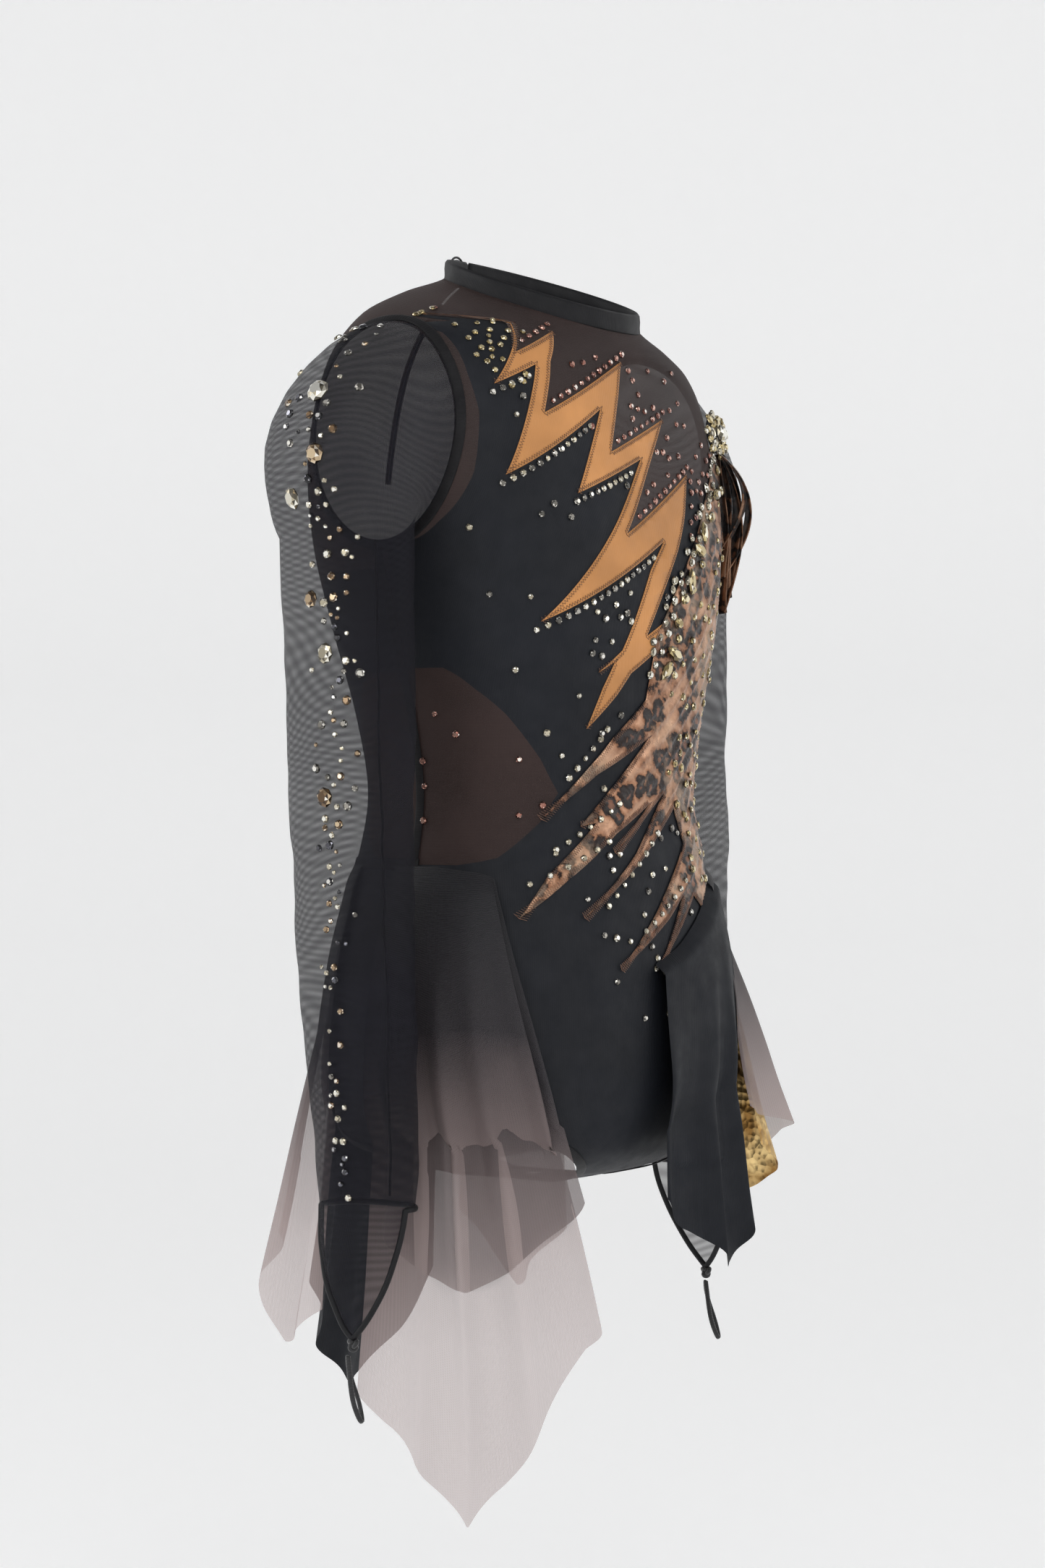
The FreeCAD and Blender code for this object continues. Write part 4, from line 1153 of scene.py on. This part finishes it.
def sewn_on(name, places, radii, lift, material, seed, node=None, slot="crystal_smoke", shapes=(1.0,)):
    """Stones on the front at (x, z) places, as one piece."""
    rng = random.Random(seed)
    stones = []
    for x, z in places:
        point, normal = on_front(x, z, lift(x, z) if callable(lift) else lift)
        stretch = rng.choice(shapes)
        stones.append((point, normal, rng.uniform(*radii), stretch, rng.uniform(0, math.tau)))
    piece = stone_cluster(name, stones, material, seed)
    sew(piece, slot, *([node] if node else []))


def make_stones():
    strap = [(-103, -24), (-86, -13), (-78, -22), (-80, -44), (-84, -62), (-98, -58), (-106, -44)]
    shoulder = thinned(scatter(strap, 4.6, 3, 0.95) + row((-84, -14), (-72, -26), 4.2), 3.7, [LIGHTNING], 1.6)
    sewn_on("stones_strap", shoulder, (1.5, 2.1), STONE_LIFT, GOLD_STONE, 11, "stones_shoulder",
            "crystal_gold")

    notches = [[(-46, -30), (-12, -34), (-33, -84), (-66, -66)], [(-4, -42), (22, -64), (-28, -84)],
               [(28, -70), (44, -92), (-26, -126), (-8, -92)]]
    lines = [(x + 1.5, z + 4.2) for x, z in rows_along(ZIGZAG_TOP[:10], 6.5)]
    spread = scatter([(-66, -14), (30, -24), (84, -66), (56, -104), (10, -60), (-40, -26)], 17, 5, 0.75)
    filled = [spot for notch in notches for spot in scatter(notch, 7.4, 6, 0.8)]
    low = scatter([(44, -98), (92, -74), (58, -108), (34, -134), (22, -122)], 6.6, 7, 0.9)
    yoke = thinned(lines + filled + low + spread, 5.4, [LIGHTNING, LEOPARD_EDGE], 2.0)
    sewn_on("stones_copper_yoke", yoke, (1.6, 2.1), STONE_LIFT, COPPER_STONE, 12, "stones_yoke",
            "crystal_copper")

    under = [(x - 1.5, z - 4.4) for x, z in rows_along(ZIGZAG_BOTTOM[3:], 5.6)]
    pockets = [(6.4, [(-34, -68), (-10, -90), (-62, -110)]),
               (6.8, [(-8, -94), (2, -132), (-40, -154), (-78, -178), (-30, -110)]),
               (9.5, [(4, -138), (-6, -152), (-24, -178), (-48, -204), (-70, -184)]),
               (9.5, [(-74, -46), (-66, -72), (-100, -100), (-98, -60)]),
               (6.0, [(20, -134), (10, -168), (-2, -186), (6, -160)])]
    packed = [spot for k, (spacing, pocket) in enumerate(pockets)
              for spot in scatter(pocket, spacing, 20 + k, 0.85)]
    below = [(-120, -112), (-66, -116), (-78, -186), (-52, -214), (-14, -214), (-30, -236), (-62, -262),
             (-104, -200)]
    wide = scatter(below, 23, 31, 0.95)
    claw_field = [(-12, -236), (40, -300), (36, -330), (-8, -372), (-60, -350), (-92, -320)]
    hem_side = scatter(claw_field, 12.5, 33, 0.75)
    lowest = scatter([(-66, -352), (12, -350), (6, -398), (-30, -404)], 17, 34, 0.7)
    bodice = thinned(under + packed + wide + hem_side + lowest, 5.0,
                     [LIGHTNING, LEOPARD_EDGE, SIDE_INSERT, YOKE], 2.3)
    # a fixed shuffle, so that the two kinds of stone are mixed
    order = sorted(bodice, key=lambda spot: (spot[0] * 7.3 + spot[1] * 3.1) % 5)
    half = len(bodice) // 2
    sewn_on("stones_smoke_bodice", order[:half], (1.7, 2.3), STONE_LIFT, SMOKE_STONE, 13, "stones_bodice")
    sewn_on("stones_clear_bodice", order[half:], (1.6, 2.3), STONE_LIFT, CLEAR_STONE, 14,
            slot="crystal_clear")

    insert = scatter([(-112, -212), (-98, -224), (-66, -268), (-80, -292), (-112, -304)], 17, 41, 0.9)
    insert = thinned(insert, 8, [LEOPARD_EDGE], 2)
    sewn_on("stones_copper_insert", insert, (1.7, 2.2), STONE_LIFT, COPPER_STONE, 15, "stones_side_insert",
            "crystal_copper")

    def on_leopard(x, z):
        angle, level = place(x, z)
        return LEOPARD_LIFT + (ruching(angle, level) if inside((x, z), LEOPARD_EDGE) else -0.4) + 0.15

    rng = random.Random(51)
    edge = [spot for spot in rows_along(LEOPARD_RIGHT + [(-8, -204)], 5.6) for _ in range(3)]
    heavy = thinned([(x + rng.uniform(-4, 7), z + rng.uniform(-3, 3)) for x, z in edge], 5.0)
    sewn_on("stones_leopard_edge", heavy, (2.0, 2.9), on_leopard, CLEAR_STONE, 16, "stones_leopard",
            "crystal_clear", (1.0, 1.0, 1.25))
    spine = row((92, -88), (2, -208), 15, -0.1)
    big = thinned([(x + rng.uniform(2, 9), z + rng.uniform(-5, 5)) for x, z in spine], 9)
    sewn_on("stones_leopard_large", big, (3.0, 3.9), lambda x, z: on_leopard(x, z) + 0.9, GOLD_STONE, 17,
            slot="crystal_gold", shapes=(1.3, 2.0, 2.2))
    field = scatter([(96, -96), (104, -130), (92, -210), (82, -262), (60, -322), (30, -320), (20, -270),
                     (0, -230), (20, -180), (48, -130)], 11.5, 52, 0.72)
    sewn_on("stones_leopard_field", thinned(field, 6), (1.7, 2.5), on_leopard, GOLD_STONE, 18,
            slot="crystal_gold", shapes=(1.0, 1.0, 1.3))
    claw_rows = [((-70, -300), (-30, -276), 8), ((-84, -318), (-40, -296), 9), ((-46, -330), (0, -292), 9),
                 ((-20, -344), (24, -318), 9), ((-40, -236), (-60, -262), 7)]
    on_claws = thinned([spot for ends_and_spacing in claw_rows for spot in row(*ends_and_spacing)], 5)
    sewn_on("stones_claws", on_claws, (1.6, 2.1), on_leopard, CLEAR_STONE, 19, slot="crystal_clear")


SHOULDER_MIDDLE = (-134, 18, -92)
# The band of stones on the sleeve: level and how far round, level and spread, and the level where it thins
BAND_LINE = [(-30, 84), (-60, 92), (-120, 96), (-160, 108), (-200, 100), (-240, 104), (-290, 100),
             (-340, 96), (-400, 92), (-450, 92), (-476, 92)]
BAND_SPREAD = [(-30, 16), (-60, 18), (-240, 12), (-330, 10), (-400, 7), (-480, 5)]
BAND_TOP, BAND_THINS, BAND_END = -32.0, -330, -478


def on_sleeve(theta, level):
    """A point of the right sleeve's cloth and the way it faces."""
    if level > ARMPIT_Z:
        surface, at = head_point, between(HEAD_LEVELS, level)
        upper, lower = max(at - 3, 0), min(at + 3, 90)
        middle = Vector(SHOULDER_MIDDLE)
    else:
        surface, at = arm_point, level
        upper, lower = level + 3, level - 3
        middle = Vector((SLEEVE_X, ARMHOLE_Y, level))
    point = surface(theta, at)
    along = surface(theta + 3, at) - surface(theta - 3, at)
    down = surface(theta, lower) - surface(theta, upper)
    normal = along.cross(down).normalized()
    return point, normal if normal.dot(point - middle) > 0 else -normal


def make_sleeve_stones():
    """A band of stones down the outside of the right sleeve, with larger sewn-on ones among them."""
    rng = random.Random(61)
    materials = {"clear": CLEAR_STONE, "smoke": SMOKE_STONE, "jet": JET_STONE, "topaz": TOPAZ_STONE}
    small, large = {kind: [] for kind in materials}, {"clear": [], "topaz": []}
    taken = []
    for level, theta, radius, stretch, kind in (
            (-66, 95, 5.6, 1.25, "clear"), (-95, 100, 5.0, 1.1, "topaz"), (-117, 76, 4.6, 1.3, "clear"),
            (-170, 84, 4.0, 1.15, "topaz"), (-198, 96, 4.6, 1.2, "clear"), (-272, 92, 4.8, 1.1, "topaz")):
        point, normal = on_sleeve(theta, level)
        large[kind].append((point + normal * 0.3, normal, radius, stretch, rng.uniform(-0.4, 0.4)))
        taken.append((point, radius + 1.5))
    level = BAND_TOP
    while level > BAND_END:
        middle, wide = between(BAND_LINE, level), between(BAND_SPREAD, level)
        dense = level > BAND_THINS
        for _ in range(3 if dense else 2):
            theta = middle + rng.gauss(0, 1) * wide * 0.8
            point, normal = on_sleeve(theta, level + rng.uniform(-3, 3))
            radius = rng.choice((1.3, 1.6, 1.9, 2.3, 2.6) if dense else (1.3, 1.6, 2.0))
            if all((point - spot).length > radius + reach for spot, reach in taken):
                taken.append((point, radius + 0.4))
                kind = rng.choices(list(small), (4, 2, 2, 3))[0]
                small[kind].append((point + normal * 0.2, normal, radius, 1.0, rng.uniform(0, 3)))
        level -= 5.4 if dense else 7.5
    pieces = [stone_cluster("stones_sleeve_" + kind, stones, materials[kind], 62 + k)
              for k, (kind, stones) in enumerate(small.items())]
    pieces += [stone_cluster("stones_sleeve_large_" + materials[kind].name.split("_")[-1], stones,
                             materials[kind], 70) for kind, stones in large.items()]
    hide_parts("stones_sleeve_right")
    for piece in pieces:
        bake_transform(piece)


# ---- bust ornament and closure --------------------------------------------------------------
BROOCH_X, BROOCH_Z, BROOCH_LIFT, BROOCH_TILT = 101, -68, 6.5, (-0.42, -0.26, 0)
BROOCH_RINGS = [(6.6, 7, 3.0), (10.4, 11, 2.4), (13.0, 8, 1.9)]      # radius, stones, their radius
DISC_SIDES = 24
DISC = [(8, -2.4), (11.2, -2.0), (11.8, -1.4), (11.2, -0.8), (7.5, -0.5)]       # radius, height
LOOPS = [(70, 14, -38), (90, 7, -34), (54, 9, -78), (81, 5, -24)]    # length, how far it opens, which way
LOOP_STEPS, RIBBON_HALF_WIDTH = 64, 4.4
BUTTON = [(0.3, -0.5), (0.8, -0.5), (0.97, -0.3), (1.0, 0.05), (0.95, 0.34), (0.82, 0.5), (0.68, 0.42),
          (0.5, 0.3), (0.05, 0.26)]                                  # shares of its radius and thickness
BUTTON_SIDES = 32


def make_bust_ornament():
    """The brooch on the left of the bust and the ribbon loops that hang from it."""
    rng = random.Random(81)
    seat, normal = on_front(BROOCH_X, BROOCH_Z, BROOCH_LIFT)
    normal = (normal + Vector(BROOCH_TILT)).normalized()
    side = normal.cross(Vector((0, 0, 1))).normalized()
    up = side.cross(normal)
    pieces = {"gold": [], "clear": []}
    pieces["clear"].append((seat + normal * 1.6, normal, 4.4, 1.2, 0.3))
    for ring, (reach, count, size) in enumerate(BROOCH_RINGS):
        for k in range(count):
            a = math.tau * (k + 0.5 * ring) / count + rng.uniform(-0.12, 0.12)
            out = reach * rng.uniform(0.92, 1.08)
            tilted = (normal + (side * math.cos(a) + up * math.sin(a)) * 0.12 * ring).normalized()
            spot = seat + side * (out * math.cos(a)) + up * (out * math.sin(a)) - normal * (0.05 * out + 0.4)
            kind = "clear" if (k + ring) % 3 == 0 else "gold"
            pieces[kind].append((spot, tilted, size, rng.choice((1.0, 1.4)), a))
    crystals = stone_cluster("brooch_clear_stones", pieces["clear"], CLEAR_STONE, 82)
    gold = stone_cluster("brooch_gold_stones", pieces["gold"], GOLD_STONE, 83)
    disc = [seat - normal * 2.6]
    for reach, height in DISC:
        disc += [seat + normal * height + side * (reach * math.cos(a)) + up * (reach * math.sin(a))
                 for a in circle(DISC_SIDES)]
    disc.append(seat - normal * 0.4)
    last, rim = len(disc) - 1, len(disc) - 1 - DISC_SIDES
    faces = [(0, 1 + (k + 1) % DISC_SIDES, 1 + k) for k in range(DISC_SIDES)]
    faces += [tuple(1 + i for i in face) for face in grid_faces(len(DISC), DISC_SIDES, True)]
    faces += [(last, rim + k, rim + (k + 1) % DISC_SIDES) for k in range(DISC_SIDES)]
    backing = new_piece("brooch_felt", disc, [face[::-1] for face in faces], BINDING)
    sew(crystals, "crystal_clear", "brooch_crystals")
    sew(gold, "crystal_gold")
    sew(backing, "binding", "brooch_backing")

    loops = []
    for k, (length, reach, turn) in enumerate(LOOPS):
        top = seat - normal * 2.0 + Vector((1.5 * k, -2.0, -11))
        path, normals = [], []
        for t in circle(LOOP_STEPS):
            down = 0.5 - 0.5 * math.cos(t)
            share = 1.0 if t < math.pi else 0.12
            open_ = share * reach * math.sin(math.pi * down ** 0.8) + 1.3 * math.sin(t)
            twist = math.radians(turn + 26 * (down - 0.4))
            facing = Vector((math.cos(twist), math.sin(twist), 0))
            sway = side * (1.6 * math.sin(2.2 * math.pi * down + k))
            hang = Vector((2.5 * down, -3.0 * math.sin(down * math.pi), -length * down))
            path.append(top + facing * open_ + sway + hang)
            outwards = facing * math.sin(t) + Vector((0, 0, 1)) * math.cos(t) * 0.9
            normals.append(outwards if outwards.length > 0.1 else facing)
        half = RIBBON_HALF_WIDTH
        profile = [(-half, -0.35), (-half * 1.02, 0), (-half, 0.35), (0, 0.75), (half, 0.35),
                   (half * 1.02, 0), (half, -0.35), (0, 0.05), (-half, -0.35)]
        points, faces = sweep(path, normals, profile)
        narrow = []
        for i, p in enumerate(points):
            centre = path[i // (len(profile) - 1)]
            pinch = 0.45 + 0.55 * eased((top.z - centre.z) / 24)      # gathered where it is sewn on
            narrow.append(centre + (p - centre) * pinch)
        loops.append(new_piece("loop_%d" % k, narrow, faces, LEOPARD_DARK))
    ribbons = joined("bust_leopard_ribbons", loops)
    sew(ribbons, "leopard_foil", "bust_ribbon_loops", body="bust_loops")


def make_closure():
    """The button at the top of the back slit and its thread loop."""
    low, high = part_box("neck_button")
    middle = (low + high) / 2 / MM
    radius, thick = (high.x - low.x) / 2 / MM, (high.y - low.y) / MM
    points = [middle + Vector((radius * r * math.cos(a), thick * h, radius * r * math.sin(a)))
              for r, h in BUTTON for a in circle(BUTTON_SIDES)]
    faces = grid_faces(len(BUTTON), BUTTON_SIDES, True)
    faces += [tuple(range(BUTTON_SIDES))[::-1], tuple(range(len(points) - BUTTON_SIDES, len(points)))]
    s = Shader("button_polish")
    polish = s.surface(Base_Color=rgba(16, 16, 19), Roughness=s.mottle(300.0, 0.12, 0.24), Coat_Weight=0.5,
                       Coat_Roughness=0.05)
    button = new_piece("neck_button_turned", points, faces, polish)
    sew(button, "button", "neck_button")
    low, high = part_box("neck_button_loop")
    level, reach = (low.z + high.z) / 2 / MM, (high.z - low.z) / 2 / MM - 0.7
    y, end_x = (low.y + high.y) / 2 / MM, high.x / MM
    path = [Vector((end_x, y, level - 1.0)), Vector((end_x - 2, y, level - 1.1))]
    path += [Vector((low.x / MM + 0.7 + reach + reach * math.cos(math.radians(a)), y,
                     level + reach * math.sin(math.radians(a)))) for a in range(-12, -349, -8)]
    path += [Vector((end_x - 2, y, level + 1.1)), Vector((end_x, y, level + 1.0))]
    loop = tube("neck_button_thread_loop", path, 0.65, BLACK_THREAD)
    sew(loop, "elastic_loop", "neck_button_loop")


# ---- stage ----------------------------------------------------------------------------------
CAMERA_AZIMUTH, CAMERA_DISTANCE, CAMERA_LENS = -55, 2.0, 83.2
TARGET = (-0.0063, 0.009, -0.2652)
FLOOR_DROP = 260                 # how far below the garment the floor lies
# A bowl-shaped backdrop wide enough to hold the camera in every view: radius, height
BACKDROP = [(0, 0), (2700, 0), (5400, 0), (7200, 220), (8460, 900), (9000, 2160), (9000, 5400), (9000, 9400)]
BACKDROP_SIDES = 48
# name, place in metres, size, power
LIGHTS = [("key_light", (-1.7, -1.5, 1.3), 1.3, 13), ("fill_light", (1.2, -2.4, 0.4), 1.4, 5),
          ("rim_light", (-1.2, 1.9, 1.0), 1.0, 9), ("side_light", (-2.6, 0.3, 0.1), 1.0, 4)]


def make_stage():
    s = Shader("backdrop_paper")
    grain = s.noise(s.position(), 40.0)
    paper = s.surface(Base_Color=s.mix(grain, (0.8, 0.8, 0.8, 1), (0.83, 0.83, 0.83, 1)), Roughness=0.9,
                      Emission_Color=(1, 1, 1, 1), Emission_Strength=0.3)
    low = CAD_BOX[0].z / MM - FLOOR_DROP
    points = [Vector((reach * math.cos(a), reach * math.sin(a), low + height))
              for reach, height in BACKDROP for a in circle(BACKDROP_SIDES)]
    floor = new_piece("floor", points, grid_faces(len(BACKDROP), BACKDROP_SIDES, True), paper)

    world = bpy.data.worlds.new("studio")
    bpy.context.scene.world = world
    world.use_nodes = True
    background = world.node_tree.nodes["Background"]
    background.inputs["Color"].default_value = (0.97, 0.98, 1.0, 1)
    background.inputs["Strength"].default_value = 0.3
    for name, spot, size, power in LIGHTS:
        lamp = bpy.data.lights.new(name, "AREA")
        lamp.size, lamp.energy = size, power
        holder = bpy.data.objects.new(name, lamp)
        bpy.context.scene.collection.objects.link(holder)
        holder.location = spot
        holder.rotation_mode = "QUATERNION"
        away = Vector(spot) - Vector((0, 0, -0.25))      # each lamp faces the garment's middle
        holder.rotation_quaternion = away.to_track_quat("Z", "Y")

    bpy.context.scene.view_settings.view_transform = "Standard"
    camera = bpy.data.objects.new("camera", bpy.data.cameras.new("camera"))
    bpy.context.scene.collection.objects.link(camera)
    bpy.context.scene.camera = camera
    camera.data.lens = CAMERA_LENS
    azimuth = math.radians(CAMERA_AZIMUTH)
    back = Vector((math.sin(azimuth), -math.cos(azimuth), 0))
    camera.location = Vector(TARGET) + back * CAMERA_DISTANCE
    camera.rotation_mode = "QUATERNION"
    camera.rotation_quaternion = back.to_track_quat("Z", "Y")


make_body()
make_bands()
make_appliques()
make_sleeve(-1, "right")
make_sleeve(1, "left")
make_skirt()
make_stones()
make_sleeve_stones()
make_bust_ornament()
make_closure()
make_stage()
